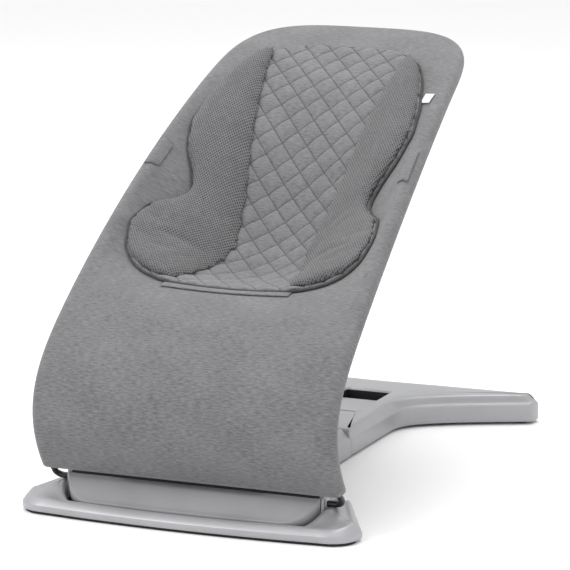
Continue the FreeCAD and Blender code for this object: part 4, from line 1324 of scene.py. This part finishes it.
@dataclass
class Studio:
    """Pale floor, soft light and the camera."""

    azimuth: float = 22.72
    elevation: float = 11.56
    distance: float = 4.4741
    right: float = 0.13785
    up: float = 0.3082
    lens: float = 227.37
    aim_height: float = 0.25
    world_strength: float = 0.94
    paper: float = 0.93

    def build(self) -> None:
        """Make the floor, the lights, the world and the camera."""
        bpy.ops.mesh.primitive_plane_add(size=30.0, location=(0.0, 0.0, 0.0))
        floor = bpy.context.object
        floor.name = "studio_floor"
        nodes = Nodes("floor_paper")
        nodes.set(Base_Color=(*grey(self.paper), 1.0), Roughness=0.9, Specular_IOR_Level=0.1)
        floor.data.materials.append(nodes.material)
        self.light("key", (-1.6, -1.8, 2.8), size=1.8, power=46.0)
        self.light("fill", (2.4, -1.8, 1.6), size=2.2, power=10.0)
        self.light("top", (0.0, 0.5, 3.2), size=2.2, power=54.0)
        world = bpy.data.worlds.new("studio_world")
        world.use_nodes = True
        background = world.node_tree.nodes["Background"]
        background.inputs["Color"].default_value = (1.0, 1.0, 1.0, 1.0)
        background.inputs["Strength"].default_value = self.world_strength
        bpy.context.scene.world = world
        bpy.context.scene.view_settings.view_transform = "Standard"
        self.camera()

    def light(self, name: str, place: tuple[float, float, float], size: float,
              power: float) -> None:
        """Add a square area light that points at the seat.

        Args:
            name: Name of the light.
            place: Where it stands, in metres.
            size: Length of its side, in metres.
            power: Power, in watts.
        """
        lamp = bpy.data.lights.new(name, "AREA")
        lamp.size = size
        lamp.energy = power
        holder = bpy.data.objects.new(name, lamp)
        holder.location = place
        away = np.array(place) - np.array([0.0, 0.0, self.aim_height])
        yaw = math.atan2(away[0], -away[1])
        pitch = math.atan2(math.hypot(away[0], away[1]), away[2])
        holder.rotation_euler = (pitch, 0.0, yaw)
        bpy.context.scene.collection.objects.link(holder)

    def camera(self) -> None:
        """Add the camera, whose axes come from the azimuth and elevation."""
        a, e = math.radians(self.azimuth), math.radians(self.elevation)
        right = np.array([math.cos(a), math.sin(a), 0.0])
        look = np.array([-math.sin(a) * math.cos(e), math.cos(a) * math.cos(e), -math.sin(e)])
        up = np.cross(right, look)
        place = -look * self.distance + right * self.right + up * self.up
        data = bpy.data.cameras.new("camera")
        data.lens = self.lens
        data.sensor_width = 36.0
        data.clip_end = 60.0
        camera = bpy.data.objects.new("camera", data)
        camera.location = place + np.array([0.0, FRONT, 0.0])
        camera.rotation_euler = (math.pi / 2 - e, 0.0, a)
        bpy.context.scene.collection.objects.link(camera)
        bpy.context.scene.camera = camera


# ---------------------------------------------------------------- assembly

SLOT_FINISH = {
    "satin_silver": SILVER,
    "grey_inlay": INLAY,
    "black_rubber": RUBBER,
    "black_plastic": DARK,
    "grey_plastic": LEVER,
    "inner_plastic": INNER,
    "bright_steel": STEEL,
    "black_wire": WIRE,
    "frame_tube": TUBE,
    "grey_jersey": JERSEY,
    "quilted_jersey": QUILT,
    "spacer_mesh": MESH,
    "white_tape": TAPE,
}
TOY_PATCH = ((182.0, 546.0), (164.0, 530.0), (168.0, 490.0), (186.0, 484.0))
HEM_BAND = ((-88.0, 279.0), (88.0, 279.0), (88.0, 291.0), (-88.0, 291.0))
SIDE_TAG = ((148.0, 672.0), (162.0, 669.0), (160.0, 650.0), (146.0, 653.0))


class Bouncer:
    """The whole seat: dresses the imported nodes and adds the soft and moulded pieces."""

    def __init__(self) -> None:
        """Make every finish once."""
        self.finishes = {slot: finish.make() for slot, finish in SLOT_FINISH.items()}
        self.piping = PIPING.make()

    def dress_frame(self) -> None:
        """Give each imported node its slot's finish."""
        slots = {s["node"]: s["material_slot"] for s in frame["record"]["subparts"]}
        for node in frame["nodes"]:
            piece = bpy.data.objects.get(node)
            if piece is None:
                continue
            piece.data.materials.clear()
            piece.data.materials.append(self.finishes[slots[node]])
            LOG.info("dressed %s", node)

    def add(self, piece: Piece, body: str, slot: str, *nodes: str,
            finish: bpy.types.Material | None = None) -> Piece:
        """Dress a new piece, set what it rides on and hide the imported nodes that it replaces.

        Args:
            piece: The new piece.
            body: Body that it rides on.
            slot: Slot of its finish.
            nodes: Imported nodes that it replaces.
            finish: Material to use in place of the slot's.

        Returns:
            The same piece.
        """
        piece.data.materials.clear()
        piece.data.materials.append(finish or self.finishes[slot])
        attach(piece, body)
        if nodes:
            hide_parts(*nodes)
        LOG.info("built %s: %d faces", piece.name, len(piece.data.polygons))
        return piece

    def build_soft(self) -> None:
        """Build the cover, the insert and what is sewn on them."""
        cover = self.add(Hammock().build(), "seat", "grey_jersey", "seat_cover")
        insert = Insert()
        panel = self.add(insert.build(), "seat", "quilted_jersey", "quilted_insert")
        self.add(insert.build_piping(), "seat", "quilted_jersey", finish=self.piping)
        for side, word in ((-1, "left"), (1, "right")):
            shape = lay_cloth(stuff(Bolster(insert, side).build(), Stuffing()))
            wing = self.add(shape, "seat", "spacer_mesh", "bolster_" + word)
            corners = tuple((side * x, at) for x, at in TOY_PATCH)
            patch = Patch("patch_" + word, corners, raised=0.2, thickness=1.4).build()
            self.add(patch, "seat", "grey_jersey", "toy_patch_" + word)
        band = Patch("hem_band", HEM_BAND, raised=0.2, thickness=2.2).build()
        self.add(band, "seat", "grey_jersey", "insert_band")
        tag = Patch("side_tag", SIDE_TAG, raised=1.0, thickness=0.8).build()
        self.add(tag, "seat", "white_tape", "blank_label")

    def build_base(self) -> None:
        """Build the front plate's rim and inlay, and the rear foot."""
        foot = FrontFoot()
        self.add(foot.build_cover(), "base", "satin_silver", "front_foot_cover")
        self.add(foot.build_inlay(), "base", "grey_inlay", "foot_inlay")
        self.add(RearFoot().build(), "base", "satin_silver", "rear_foot_cover")


def main() -> None:
    """Build everything."""
    logging.basicConfig(level=logging.INFO)
    Studio().build()
    bouncer = Bouncer()
    bouncer.dress_frame()
    bouncer.build_soft()
    bouncer.build_base()


if __name__ == "__main__":
    main()
